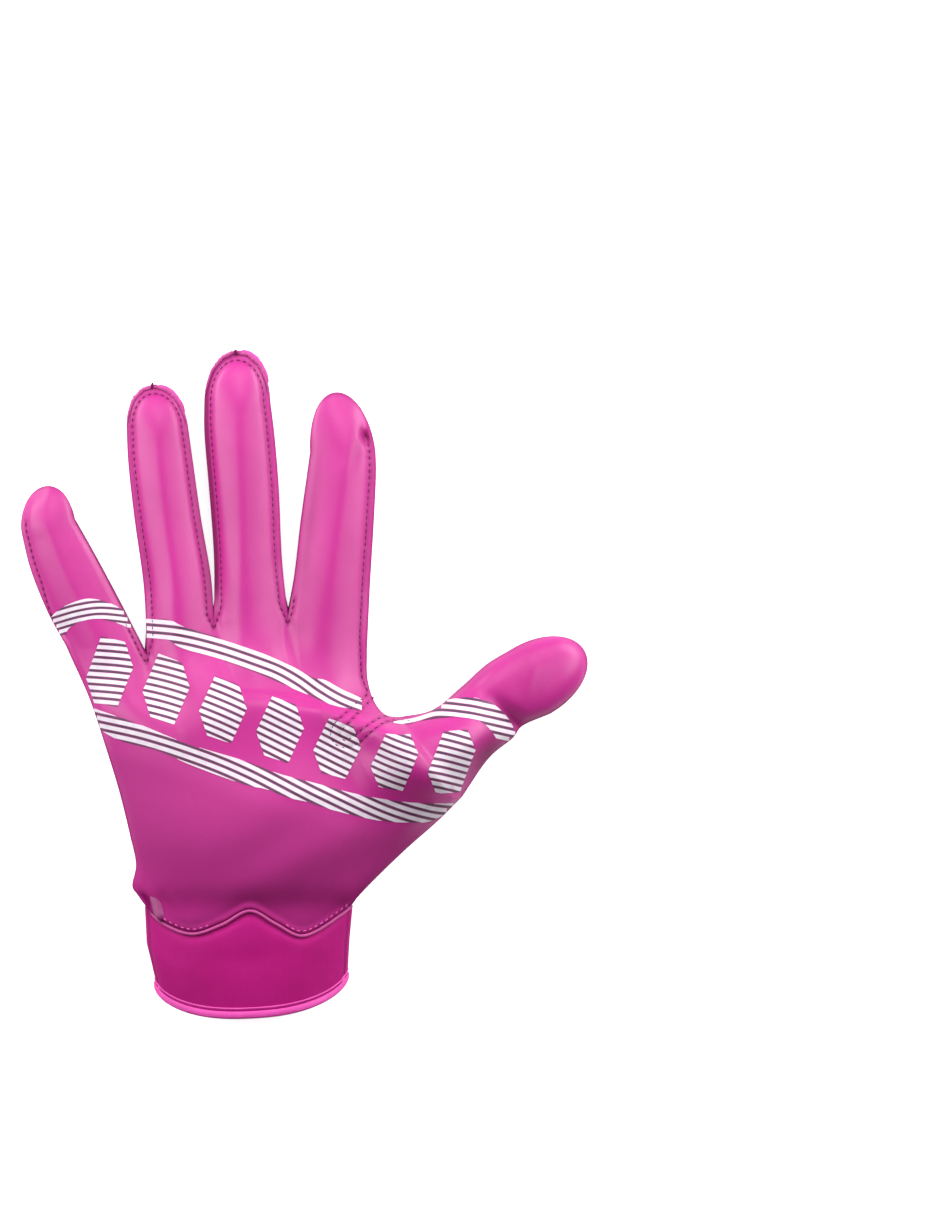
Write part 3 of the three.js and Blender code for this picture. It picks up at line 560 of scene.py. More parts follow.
def eased_lengthwise(grid, rounds=16):
    """A grid of rows and columns with each column's run smoothed: every round takes half of a point and a
    quarter of the points before and after it. The first and last rows stay."""
    grid = grid.copy()
    for _ in range(rounds):
        grid[1:-1] = 0.5 * grid[1:-1] + 0.25 * (grid[:-2] + grid[2:])
    return grid


def finger_grids(places):
    """The grids of a finger or the thumb: across, v from 0 to 1 up its shaft and q from 0 to 1 round its
    tip, over the column places."""
    v = np.concatenate([np.linspace(0, 1, SHAFT_ROWS + 1), np.ones(TIP_ROWS)])
    q = np.concatenate([np.zeros(SHAFT_ROWS), np.linspace(0, 1, TIP_ROWS + 1)])
    return *np.meshgrid(places, v), np.meshgrid(places, q)[1]


def hand_sheet(places, palm_at, finger_at, thumb_at=None):
    """A hand-shaped sheet: the palm patch (part PALM), four fingers (0 to 3) on its top row and, if wanted,
    the thumb (THUMB_PART) on its right edge. places are the columns over one finger."""
    sheet = Sheet()
    share = (places[:-1] + 1) / 2
    across = np.concatenate([(index + share) / len(FINGERS) for index in range(len(FINGERS))] + [[1.0]])
    heel = THUMB_START * np.linspace(0, 1, HEEL_ROWS + 1) ** WRIST_CROWDING
    up = np.concatenate([heel, np.linspace(THUMB_START, 1, PALM_ROWS - HEEL_ROWS + 1)[1:]])
    palm = sheet.add(*palm_at(*np.meshgrid(across, up)), place=(PALM, 0, 0, 0))
    columns = len(places) - 1
    grids = finger_grids(places)
    for index in range(len(FINGERS)):
        root = palm[-1, index * columns : (index + 1) * columns + 1]
        xyz, rim = finger_at(index, *grids)
        sheet.add(eased_lengthwise(xyz), rim, root, (index, *grids))
    if thumb_at is not None:
        grids = finger_grids(np.linspace(-1, 1, THUMB_ROWS + 1))
        root = palm[HEEL_ROWS : HEEL_ROWS + THUMB_ROWS + 1, -1][::-1]
        sheet.add(*thumb_at(*grids), root, (THUMB_PART, *grids))
    return sheet


def point_normals(points, faces):
    """Unit normals at the points: the sum of the crossed diagonals of the quads round each."""
    a, b, c, d = (points[faces[:, k]] for k in range(4))
    normal = np.cross(c - a, d - b)
    total = np.zeros_like(points)
    for k in range(4):
        for axis in range(3):
            total[:, axis] += np.bincount(faces[:, k], normal[:, axis], len(points))
    return total / np.maximum(np.linalg.norm(total, axis=1, keepdims=True), 1e-12)


def side_pairs(faces):
    """Every side of every quad as a pair of point numbers, in the quad's own direction."""
    return np.vstack([faces[:, [k, (k + 1) % 4]] for k in range(4)])


def open_sides(faces, count):
    """The sides that only one quad has: the sheet's rim."""
    pairs = side_pairs(faces)
    forth, back = pairs[:, 0] * count + pairs[:, 1], pairs[:, 1] * count + pairs[:, 0]
    return pairs[~np.isin(forth, back)]


def thicken(points, faces, rim, wall):
    """Gives a sheet its wall. Inner points lie a wall's thickness inwards: along the normal, and on the
    rim straight down under a flange or level into the hollow."""
    inward = -point_normals(points, faces)
    inward[rim == DOWN] = (0, 0, -1)
    level = rim == LEVEL
    inward[level, 2] = 0
    inward[level] /= np.maximum(np.linalg.norm(inward[level], axis=1, keepdims=True), 1e-9)
    count = len(points)
    p, q = open_sides(faces, count).T
    sides = np.column_stack([q, p, p + count, q + count])
    both = np.vstack([points, points + inward * np.reshape(wall, (-1, 1))])
    return both, np.vstack([faces, faces[:, ::-1] + count, sides])


def evened(points, faces, ease, rounds):
    """Heights evened out: each round moves a point by its ease (0 to 1) towards the mean height of its
    neighbours. Rim points stay."""
    a, b = side_pairs(faces).T
    count = len(points)
    held = np.zeros(count, bool)
    held[open_sides(faces, count).ravel()] = True
    ease = np.where(held, 0, ease)
    z = points[:, 2].copy()
    near = np.bincount(a, minlength=count) + np.bincount(b, minlength=count)
    for _ in range(rounds):
        mean = (np.bincount(a, z[b], count) + np.bincount(b, z[a], count)) / near
        z += ease * (mean - z)
    return np.column_stack([points[:, :2], z])


def rim_fade(points, faces, rounds=24):
    """1 inside a sheet, falling softly to 0 at its rim."""
    flat = np.column_stack([points[:, :2], np.ones(len(points))])
    flat[open_sides(faces, len(points)).ravel(), 2] = 0
    return evened(flat, faces, 0.5, rounds)[:, 2]


def carried(rings, closed=False):
    """Profiles carried along paths. rings has the shape path, ring, point, 3, with the points turning
    from outwards to path direction × outwards. Returns points and faces, with flat caps unless closed."""
    paths, count, sides = rings.shape[:3]
    index = np.arange(paths * count * sides).reshape(paths, count, sides)
    if closed:
        index = np.concatenate([index, index[:, :1]], 1)
    around = np.concatenate([index, index[:, :, :1]], 2)
    corners = [around[:, :-1, :-1], around[:, :-1, 1:], around[:, 1:, 1:], around[:, 1:, :-1]]
    faces = np.stack(corners, -1).reshape(-1, 4).tolist()
    if not closed:
        faces += index[:, 0, ::-1].tolist() + index[:, -1].tolist()
    return rings.reshape(-1, 3), faces


def build(name, points, faces, material, slot, stands_for=(), sharp=50.0, marks=None):
    """Makes a piece of the glove from drawn points and faces, rides it on the glove's body and gives it
    its finish. marks are named numbers per point for the finish to read."""
    mesh = bpy.data.meshes.new(name)
    faces = faces.tolist() if isinstance(faces, np.ndarray) else faces
    mesh.from_pydata(to_frame(points).tolist(), [], faces)
    mesh.polygons.foreach_set("use_smooth", np.ones(len(mesh.polygons), bool))
    mesh.set_sharp_from_angle(angle=np.radians(sharp))
    for mark, values in (marks or {}).items():
        layer = mesh.attributes.new(mark, "FLOAT", "POINT")
        layer.data.foreach_set("value", np.asarray(values, np.float32))
    mesh.materials.append(material)
    mesh.update()
    piece = bpy.data.objects.new(name, mesh)
    bpy.context.scene.collection.objects.link(piece)
    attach(piece, "root")
    if stands_for:
        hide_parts(*stands_for)
    return piece


# The wavy seam

WAVE_CURVE = PlanCurve(WAVE)
WAVE_LEFT, WAVE_RIGHT = WAVE[0][0], WAVE[-1][0]


def wave_height(across):
    """The wavy seam's y at a share of the wrist's width."""
    return np.interp(lerp(WAVE_LEFT, WAVE_RIGHT, across), *WAVE_CURVE.places.T)


def beside_wave(across, side):
    """A point beside the wavy seam, on the palm's side (1) or the cuff's (-1), clear of the piping."""
    step = 0.01
    before, after = np.maximum(0, across - step), np.minimum(1, across + step)
    slope = (wave_height(after) - wave_height(before)) / ((WAVE_RIGHT - WAVE_LEFT) * (after - before))
    clear = np.minimum((PIPING_RADIUS + SEAM_GAP) * np.hypot(1, slope), PIPING_MOST) + PIPING_CLEAR
    return np.stack([lerp(WAVE_LEFT, WAVE_RIGHT, across), wave_height(across) + side * clear], -1)


# The palm's rolled lower edge: its height, how far above the seam it runs, its width, and its first and
# last share of the wrist's width, where it has faded in and starts to fade out
WRIST_ROLL = {"rise": 0.55, "at": 1.7, "wide": 1.2, "full": (0.08, 0.92)}
# The valley over it, which fades out from clear above the seam down to the seam
WRIST_VALLEY = {"depth": 1.3, "y": -78.5, "wide": 5.0, "clear": 4.0}
# Painted shade above the wrist: how dark the palm gets between two places of y, how much darker in the
# valley, and how much less of it lies on the roll
WRIST_PAINTED_SHADE = {"dark": 0.42, "y": (-36.0, -80.0), "deep": 0.35, "at": -79.0, "wide": 5.0, "roll_spared": 0.3}


def above_wave(xy):
    """How far a plan point lies above the wavy seam, and its share of the wrist's width."""
    share = (xy[:, 0] - WAVE_LEFT) / (WAVE_RIGHT - WAVE_LEFT)
    return xy[:, 1] - wave_height(np.clip(share, 0, 1)), share


def wrist_roll(xy):
    """1 on the middle of the palm's rolled lower edge, falling off on both sides."""
    return bump(above_wave(xy)[0] - WRIST_ROLL["at"], WRIST_ROLL["wide"])


def wrist_relief(xy):
    """How much the palm rises near the wavy seam: the roll along it less the valley above the roll."""
    above, share = above_wave(xy)
    valley = WRIST_VALLEY["depth"] * bump(xy[:, 1] - WRIST_VALLEY["y"], WRIST_VALLEY["wide"])
    within = smooth(0, WRIST_ROLL["full"][0], share) * smooth(1, WRIST_ROLL["full"][1], share)
    return within * (WRIST_ROLL["rise"] * wrist_roll(xy) - valley * smooth(0, WRIST_VALLEY["clear"], above))


# Seams that are stitched through the palm's leather, as plan points

CROTCHES = [np.array(finger["rows"][0][2:]) for finger in FINGERS[:-1]]
# How far below a crotch its stitches start
CROTCH_DROP = 3.0
# Where the index finger's stitches run on down to the web
WEB_END = [(20.9, 9.0), (21.5, 2.5), (23.6, -2.6)]
# Over which share of the little finger its stitches come in from its outer edge, and how near the edge
LITTLE_SEAM = {"from": 0.3, "to": 0.6, "aside": 0.95}
# Where the other fingers' stitches start on the shaft, and the stops along a shaft and round a tip
SEAM_START = 0.06
SEAM_STOPS = {"shaft": 24, "tip": 16}


def tip_ellipse(finger, size, turn):
    """Plan points round a finger's tip, at a share of its ellipse: half · cos + reach · sin."""
    rows = np.array(finger["rows"], float)
    centre, half = (rows[-1, :2] + rows[-1, 2:]) / 2, (rows[-1, 2:] - rows[-1, :2]) / 2
    reach = np.array(finger["tip"]) - centre
    return centre + np.reshape(size, (-1, 1)) * (half * np.cos(turn)[:, None] + reach * np.sin(turn)[:, None])


def finger_stitch_path(index, start_turn, end_turn, from_root, to_root):
    """The stitch line of a finger in plan: up the left side from the crotch, round the tip between two
    turns (180 is the left side, 0 the right), and down the right side."""
    finger = FINGERS[index]
    plan = finger_plan(finger, (0, 0), root_ends(index, 0))
    shaft = np.linspace(SEAM_START if index > 0 else LITTLE_SEAM["from"], 1, SEAM_STOPS["shaft"])
    flat, right = np.zeros_like(shaft), np.full_like(shaft, STITCH_LINE)
    left = -right
    if index == 0:
        left = -lerp(LITTLE_SEAM["aside"], STITCH_LINE, smooth(LITTLE_SEAM["from"], LITTLE_SEAM["to"], shaft))
    turn = np.radians(np.linspace(start_turn, end_turn, SEAM_STOPS["tip"]))
    parts = []
    if from_root and index > 0:
        parts.append(CROTCHES[index - 1][None] - [[0, CROTCH_DROP]])
    if from_root:
        parts.append(plan(left, shaft, flat)[:-1])
    parts.append(tip_ellipse(finger, STITCH_LINE, turn))
    if to_root:
        parts.append(plan(right, shaft, flat)[:-1][::-1])
        parts.append(CROTCHES[index][None] - [[0, CROTCH_DROP]] if index < len(CROTCHES) else WEB_END)
    return PlanCurve(np.vstack(parts), 6)


FINGER_SEAMS = [
    finger_stitch_path(0, 180, 165, True, False),
    finger_stitch_path(1, 180, 0, True, True),
    finger_stitch_path(2, 180, 0, True, True),
    finger_stitch_path(3, 12, 0, False, True),
]
# The short ends of stitches on the unflanged side of a crotch
CROTCH_SEAMS = [
    PlanCurve([(-64.0, 22.5), (-60.4, 15.6), (-57.6, 10.0), (-56.0, 7.8)]),
    PlanCurve([(-3.0, 31.5), (-3.6, 27.0), (-5.2, 21.8)]),
]
# The double seam of the gusset between palm and thumb
WEB_SEAMS = [
    PlanCurve([(23.9, -2.9), (17.1, -8.6), (11.3, -14.4), (10.3, -18.0), (12.1, -21.2), (16.0, -22.3),
               (20.0, -20.9), (25.0, -16.6), (29.7, -13.3), (34.4, -12.6), (39.4, -13.0)]),
    PlanCurve([(26.1, -3.9), (20.0, -9.9), (15.3, -15.1), (13.7, -17.6), (15.2, -19.7), (18.3, -18.4),
               (23.2, -14.6), (28.2, -11.6), (33.6, -10.8)]),
]
# Light stitches just above the wavy seam, from one x to another
WAVE_STITCH = {"length": 1.4, "width": 0.5, "height": 0.45, "pitch": 2.1, "rise": 0.1}
WAVE_STITCH_SPANS = [(-50.0, -33.0), (-6.0, 16.6)]
WAVE_STITCH_ABOVE = 1.25
# The furrow that stitches press: its depth and width, how much deeper it is at a stitch, and the painted
# shade in it
FURROW = {"depth": 0.42, "width": 0.62, "pucker": 0.3, "dark": 0.7}
STITCH_PITCH = 2.35


def furrow_depth(xy, seams, gap=0.5, reach=3):
    """The pull of stitches on the leather: e^-(distance from the seam / width)², deeper at each stitch. It
    is measured from stops a gap apart, and only within reach of the seam's box."""
    deep = np.zeros(len(xy))
    for seam in seams:
        stops = max(8, int(seam.length / gap))
        line = seam.even(np.linspace(0, 1, stops))
        low, high = line.min(0) - reach, line.max(0) + reach
        near = np.flatnonzero(np.all((xy > low) & (xy < high), axis=1))
        away = np.linalg.norm(xy[near, None] - line[None], axis=2)
        along = away.argmin(1) * seam.length / (stops - 1)
        pull = 1 - FURROW["pucker"] * np.cos(2 * np.pi * along / STITCH_PITCH)
        pull = FURROW["depth"] * pull * bump(away.min(1), FURROW["width"])
        deep[near] = np.maximum(deep[near], pull)
    return deep


# A flange's painted shade is full at this place across, and from this share of the shaft on. Round a
# gathered tip it is dark between two places of q.
FLANGE_SHADE = {"across": 0.9, "up": 0.15}
GATHER_SHADE = {"dark": 0.4, "q": (0.1, 0.35)}


def flange_shade(sheet):
    """The painted shade on the flanges of a hand sheet: each finger's shade outside the stitches, and that of
    GATHER_SHADE round the tips that are gathered."""
    part, across, v, q = sheet.parts()
    side = on_disc(across, q)[0]
    outside = smooth(STITCH_LINE, FLANGE_SHADE["across"], edge_measure(across, q))
    shade = np.zeros(len(part))
    for index, finger in enumerate(FINGERS):
        gathered = GATHER_SHADE["dark"] * smooth(*GATHER_SHADE["q"], q) * all(finger["flanged"])
        own = by_side(finger["shade"], side) * smooth(0, FLANGE_SHADE["up"], v)
        shade = np.where(part == index, np.maximum(own, gathered) * outside, shade)
    return shade


# The gathers round a tip: their depth and number, full at this place across and coming up between two
# places of q
TIP_PLEATS = {"depth": 0.55, "count": 13, "across": 0.93, "q": (0.15, 0.5)}


def tip_pleats(finger, across, q):
    """The gathers of the flange round a fingertip: depth · (1 + cos(2 · count · turn)) / 2 outside the
    stitches, where both sides are flanged."""
    if not all(finger["flanged"]):
        return np.zeros_like(q)
    side, ahead = on_disc(across, q)
    pleat = 0.5 + 0.5 * np.cos(2 * TIP_PLEATS["count"] * np.arctan2(ahead, side))
    outside = smooth(STITCH_LINE, TIP_PLEATS["across"], np.hypot(side, ahead))
    return TIP_PLEATS["depth"] * pleat * outside * smooth(*TIP_PLEATS["q"], q)


# The palm's dip at its wrist end, with its length as a share of the palm's
WRIST_DIP = {"depth": 1.6, "long": 0.035}
# A flange's droop comes up between two places of the shaft, from this far inside the stitches
DROOP = {"v": (0.02, 0.2), "inside": 0.05}
# Evening out of the heights: the ease and the rounds for the whole sheet, and the further rounds for the
# palm and, fading up to root, for the start of each shaft
EVENING = {"ease": 0.5, "rounds": 8, "palm_rounds": 40, "root": 0.3}
# Painted shade along the palm's cut edge: how dark it is, and the rim_fade at which that ends
EDGE_SHADE = {"dark": 0.7, "end": 0.6}
# How far below the print on the heel the coating starts to be worn, and where it is all worn
WORN = (-2, 10)


def palm_marks(sheet, xy, furrow, inside):
    """How much painted shade and how worn the leather is at its points. seam is the painted shade: the
    darkest of that in furrows, folds, flanges, along the cut edge and above the wrist; worn grows from the
    print on the heel towards the wrist."""
    # Painted shade along the cut edge
    edge_shade = EDGE_SHADE["dark"] * (1 - smooth(0, EDGE_SHADE["end"], inside))
    # Painted shade towards the wrist, deepest in the valley and lighter on the roll
    wrist_shade = WRIST_PAINTED_SHADE["deep"] * bump(xy[:, 1] - WRIST_PAINTED_SHADE["at"], WRIST_PAINTED_SHADE["wide"])
    wrist_shade = wrist_shade + WRIST_PAINTED_SHADE["dark"] * smooth(*WRIST_PAINTED_SHADE["y"], xy[:, 1])
    wrist_shade = wrist_shade * (1 - WRIST_PAINTED_SHADE["roll_spared"] * wrist_roll(xy))
    folds = fold_depth(xy, LEATHER_FOLDS, "dark")
    painted_shades = [FURROW["dark"] * furrow / FURROW["depth"], folds, flange_shade(sheet), edge_shade, wrist_shade]
    band = next(band for band in BANDS if band["name"] == "heel_band")
    worn = smooth(*WORN, np.interp(xy[:, 0], *PlanCurve(band["bottom"]).places.T) - xy[:, 1])
    # The seam mark carries all this painted shade to the leather's finish
    return {"seam": np.tile(np.max(painted_shades, axis=0), 2), "worn": np.tile(worn, 2)}


def palm_leather(material):
    """The coated palm with the fronts of the fingers and the thumb, cut in one sheet."""
    plan = palm_plan(0.0, lambda across: beside_wave(across, 1))
    finger_plans = [finger_plan(f, (0, 0), root_ends(i, 0)) for i, f in enumerate(FINGERS)]
    thumb_plan = finger_plan(THUMB, (0, 0), thumb_root(0))
    places = cell_places(STITCH_LINE, edge_cells=6, middle_cells=28)

    def palm_at(across, up):
        place = plan(across, up)
        beside_thumb = (up > THUMB_START) & (up < THUMB_END)
        side = ((across == 0) | ((across == 1) & ~beside_thumb)) & (up > 0)
        rim = np.where(up == 1, DOWN, np.where(side, np.where(up > FLANGE_FROM, DOWN, LEVEL), FREE))
        dip = WRIST_DIP["depth"] * bump(up, WRIST_DIP["long"])
        return np.dstack([place, palm_front(across, up) - dip * arch_at(2 * across - 1)]), rim

    def finger_at(index, across, v, q):
        place = finger_plans[index](across, v, q)
        rim = np.where((np.abs(across) == 1) | (q == 1), DOWN, FREE)
        droop = by_side(FINGERS[index]["droop"], on_disc(across, q)[0]) * smooth(*DROOP["v"], v)
        droop = droop * smooth(STITCH_LINE - DROOP["inside"], 1, edge_measure(across, q))
        droop = droop + tip_pleats(FINGERS[index], across, q)
        return np.dstack([place, finger_front(FINGERS[index], across, v, q) - droop]), rim

    def thumb_at(across, v, q):
        rim = np.where((np.abs(across) == 1) | (q == 1), LEVEL, FREE)
        return np.dstack([thumb_plan(across, v, q), thumb_front(across, v, q)]), rim

    sheet = hand_sheet(places, palm_at, finger_at, thumb_at)
    points, faces, rim = sheet.whole()
    up_shaft = sheet.parts()[2]
    points = evened(points, faces, EVENING["ease"], EVENING["rounds"])
    near_palm = smooth(EVENING["root"], 0, up_shaft)
    points = evened(points, faces, EVENING["ease"] * near_palm, EVENING["palm_rounds"])
    xy = points[:, :2]
    furrow = furrow_depth(xy, FINGER_SEAMS + CROTCH_SEAMS + WEB_SEAMS)
    inside = rim_fade(points, faces)
    points[:, 2] -= inside * (fold_depth(xy, LEATHER_FOLDS) + furrow - wrist_relief(xy))
    both, all_faces = thicken(points, faces, rim, PALM_WALL)
    marks = palm_marks(sheet, xy, furrow, inside)
    return build("palm_leather", both, all_faces, material, "palm_coating", ["palm_panel"], marks=marks)


def height_on(piece, xy):
    """Heights of a piece's top under plan points, in drawn millimetres. The points are one mesh that a
    shrinkwrap drops straight down on the piece; a point that misses it gets no number."""
    above = 80.0
    flat = xy.reshape(-1, 2)
    probe = bpy.data.meshes.new("probe")
    probe.from_pydata(to_frame(np.column_stack([flat, np.full(len(flat), above)])).tolist(), [], [])
    carrier = bpy.data.objects.new("probe", probe)
    bpy.context.scene.collection.objects.link(carrier)
    drop = carrier.modifiers.new("drop", "SHRINKWRAP")
    drop.target = piece
    drop.wrap_method = "PROJECT"
    drop.use_project_z = True
    drop.use_positive_direction = False
    drop.use_negative_direction = True
    graph = bpy.context.evaluated_depsgraph_get()
    dropped = carrier.evaluated_get(graph).data
    places = np.zeros(len(dropped.vertices) * 3, np.float32)
    dropped.vertices.foreach_get("co", places)
    z = places[2::3].astype(float) / MM
    bpy.data.objects.remove(carrier)
    bpy.data.meshes.remove(probe)
    return np.where(z > above - 1, np.nan, z).reshape(xy.shape[:-1])


def lying_height(piece, xy):
    """Heights of a piece's top along a row of plan points, bridged evenly over points that miss it."""
    height = height_on(piece, xy)
    row, found = np.arange(len(xy)), np.isfinite(height)
    return np.interp(row, row[found], height[found])


def surface_frame(piece, xy):
    """Places on a piece under plan points, and the unit normals there, from heights 0.4 mm apart."""
    step = 0.4
    heights = [height_on(piece, xy + np.array(shift)) for shift in ((0, 0), (step, 0), (0, step))]
    z, right, ahead = heights
    slope_x, slope_y = np.nan_to_num((right - z) / step), np.nan_to_num((ahead - z) / step)
    normal = np.stack([-slope_x, -slope_y, np.ones_like(z)], -1)
    return np.column_stack([xy, z]), normal / np.linalg.norm(normal, axis=-1, keepdims=True)


def stitch_rings(places, along, normal, size):
    """Short capsules of thread: six-sided rings whose radius swells from the ends as sqrt(1 - t²)."""
    aside = np.cross(normal, along)
    t = np.array([-0.98, -0.75, -0.3, 0.3, 0.75, 0.98])
    turn = np.arange(6) * np.pi / 3
    radius = np.sqrt(1 - t * t)
    middle = places[:, None] + along[:, None] * (t * size["length"] / 2)[None, :, None]
    around = (
        aside[:, None, None] * (np.cos(turn) * size["width"] / 2)[None, None, :, None]
        + normal[:, None, None] * (np.sin(turn) * size["height"] / 2)[None, None, :, None]
    )
    return middle[:, :, None] + around * radius[None, :, None, None]


LEATHER_STITCH = {"length": 1.55, "width": 0.62, "height": 0.5, "pitch": STITCH_PITCH, "rise": -0.02}


def run_stitches(line, size):
    """Stops along a smooth line at the stitches' pitch, and the line's direction there."""
    count = max(2, int(line.length / size["pitch"]))
    k = (np.arange(count) + 0.5) / count
    near = 0.002
    ahead = line.even(k + near) - line.even(k - near)
    return line.even(k), ahead / np.linalg.norm(ahead, axis=1, keepdims=True)


def stitches_on(piece, seams, size):
    """Rings of the stitches of plan seams, laid on a piece."""
    rings = []
    for seam in seams:
        xy, ahead = run_stitches(seam, size)
        places, normal = surface_frame(piece, xy)
        good = ~np.isnan(places[:, 2])
        places, normal, ahead = places[good], normal[good], np.pad(ahead[good], ((0, 0), (0, 1)))
        along = ahead - normal * np.sum(ahead * normal, 1, keepdims=True)
        along /= np.linalg.norm(along, axis=1, keepdims=True)
        rings.append(stitch_rings(places + normal * size["rise"], along, normal, size))
    return np.vstack(rings)


def wave_stitch_lines():
    """The lines of stitches just above the wavy seam."""
    lines = []
    for first, last in WAVE_STITCH_SPANS:
        share = (np.linspace(first, last, 30) - WAVE_LEFT) / (WAVE_RIGHT - WAVE_LEFT)
        xy = beside_wave(share, 1)
        lines.append(PlanCurve(xy + [0, WAVE_STITCH_ABOVE], 4))
    return lines


# The print is stripes inside outlines. A band has a top and a bottom edge; its stripes lie side by side at
# its pitch, all running along one line, and end where they meet an edge.
BANDS = [
    {
        "name": "knuckle_band",
        "pitch": 2.65,
        "top": [(-58.0, 23.8), (-48.0, 23.5), (-43.0, 21.2), (-29.7, 16.9), (-15.3, 11.9), (-0.9, 5.4),
                (4.5, 2.5), (7.7, 2.0), (13.5, -0.9), (22.9, -5.6)],
        "bottom": [(-58.0, 16.7), (-48.5, 16.2), (-44.1, 13.7), (-29.7, 9.2), (-15.3, 4.1), (-0.9, -2.2),
                   (2.7, -3.6), (8.1, -6.1), (13.5, -7.7), (21.4, -9.0)],
        "along": [(-58.0, 19.3), (-44.1, 17.9), (-29.7, 14.4), (-15.3, 9.6), (-8.1, 6.8), (-0.9, 2.8),
                  (6.3, -2.2), (13.5, -6.3), (22.9, -10.1)],
    },
    {
        "name": "little_band",
        "pitch": 2.2,
        "top": [(-91.5, 23.6), (-87.3, 27.4), (-80.8, 30.3), (-76.5, 31.1), (-69.3, 29.5), (-60.0, 24.2)],
        "bottom": [(-91.5, 18.4), (-85.9, 18.0), (-84.1, 20.3), (-80.8, 22.4), (-74.7, 23.8), (-68.6, 22.9),
                   (-60.0, 19.6)],
        "along": [(-91.5, 21.4), (-80.1, 24.6), (-72.9, 25.6), (-60.0, 24.4)],
    },
    {
        "name": "heel_band",
        "pitch": 2.6,
        "top": [(-75.8, -8.1), (-58.5, -14.0), (-42.3, -20.5), (-33.7, -23.2), (-20.7, -27.0), (-8.5, -31.5),
                (5.2, -35.1), (17.8, -38.5), (29.0, -40.7), (40.5, -42.1), (54.9, -42.5)],
        "bottom": [(-75.8, -14.4), (-65.7, -19.8), (-51.3, -23.6), (-40.5, -28.3), (-18.9, -36.0),
                   (-13.1, -37.1), (-4.5, -40.3), (2.3, -41.8), (9.9, -44.3), (27.2, -48.4), (38.3, -49.3),
                   (45.9, -49.0), (54.9, -44.3)],
        "along": [(-75.8, -12.6), (-55.6, -17.0), (-34.0, -24.0), (-19.3, -30.1), (5.6, -42.8),
                  (29.0, -53.6), (44.5, -58.3), (54.9, -59.8)],
    },
    {
        "name": "ball_band",
        "pitch": 2.5,
        "top": [(32.9, -12.2), (40.0, -11.3), (45.2, -8.2), (48.4, -6.4), (53.1, -5.1), (61.7, -4.4),
                (68.9, -7.0), (74.0, -11.9), (76.0, -15.5), (77.5, -20.0)],
        "bottom": [(32.9, -13.5), (37.5, -14.0), (43.0, -12.7), (50.9, -11.6), (58.9, -11.7), (65.3, -13.7),
                   (69.7, -19.1), (71.1, -22.7), (77.5, -25.6)],
        "along": [(32.9, -12.4), (40.1, -11.2), (48.1, -9.0), (58.9, -9.7), (66.1, -11.1), (77.5, -13.8)],
    },
]
# The row of striped lozenges between the bands: its edges, its stripes' line and pitch, how many there
# are, and how a lozenge fills its place: its width, the share of it that slants, and its lean to the right
LOZENGES = {
    "top": [(-79.6, 19.2), (-62.1, 15.0), (-43.4, 8.2), (-23.2, 0.3), (-4.0, -6.3), (14.0, -13.3),
            (32.0, -17.4), (46.0, -16.9), (64.0, -15.4)],
    "bottom": [(-79.6, -5.8), (-65.7, -8.0), (-54.2, -11.4), (-26.8, -20.4), (-11.7, -25.7), (7.0, -31.3),
               (34.4, -37.6), (48.0, -38.7), (64.0, -38.0)],
    "along": [(-79.6, -1.8), (-65.7, -2.9), (-54.9, -4.7), (-44.1, -7.6), (-29.7, -13.0), (-15.3, -19.8),
              (-0.9, -27.0), (13.5, -34.2), (27.9, -40.7), (38.7, -44.3), (49.5, -46.8), (64.0, -51.0)],
    "pitch": 2.45,
    "count": 7,
    "fill": 0.84,
    "slant": 0.42,
    "lean": 0.13,
}
WHITE_LINE = {"fill": 0.56, "above": 0.12, "below": 0.15, "offset": 0.0}
GREY_LINE = {"fill": 0.27, "above": 0.105, "below": 0.15, "offset": 0.5}
# Stops along a printed line, the fewest that are kept, points over its top, and how many times thicker
# than on the level it may get on a slope
LINE_STOPS = {"band": 200, "lozenge": 24}
LEAST_STOPS = 3
POINTS_ACROSS = 5
MOST_STEEP = 3.0
# Steps over a region of the print, stripes on each side of its line, and the least width and length of a
# stripe
REGION_STOPS = 1600
MOST_STRIPES = 16
LEAST_WIDTH = 0.1
LEAST_LENGTH = 1.0


def printed(across, look, palm):
    """Printed lines as thin slabs on the palm: across holds plan points over the line's width at each
    stop, shape line, stop, point, 2. From its middle a line goes both ways until it leaves the palm. The
    slab's height grows with the slope, so its thickness stays even."""
    z = height_on(palm, across)
    off_palm = np.isnan(z).any(2)
    slope = (z[..., 0] - z[..., -1]) / np.linalg.norm(across[..., 0, :] - across[..., -1, :], axis=-1)
    steep = np.minimum(np.hypot(1, np.nan_to_num(slope)), MOST_STEEP)[..., None]
    stops = np.arange(z.shape[1])[None]
    half_way = z.shape[1] // 2
    first = np.where(off_palm & (stops <= half_way), stops + 1, 0).max(1, keepdims=True)
    last = np.where(off_palm & (stops >= half_way), stops - 1, stops[0, -1]).min(1, keepdims=True)
    keep = np.clip(stops, first, np.maximum(first, last))
    lines = np.arange(len(z))[:, None]
    across, z, steep = across[lines, keep], z[lines, keep], steep[lines, keep]
    top = np.concatenate([across, (z + look["above"] * steep)[..., None]], -1)
    low = np.concatenate([across, (z - look["below"] * steep)[..., None]], -1)
    rings = np.concatenate([top, low[:, :, ::-2]], 2)
    return rings[(last - first > LEAST_STOPS)[:, 0]]


def region(row):
    """Places x over a region of the print, with its top, its bottom and its stripes' line there."""
    curves = [PlanCurve(row[edge]).places for edge in ("top", "bottom", "along")]
    x = np.linspace(curves[0][0, 0], min(curves[0][-1, 0], curves[1][-1, 0]), REGION_STOPS)
    return x, *(np.interp(x, places[:, 0], places[:, 1]) for places in curves)


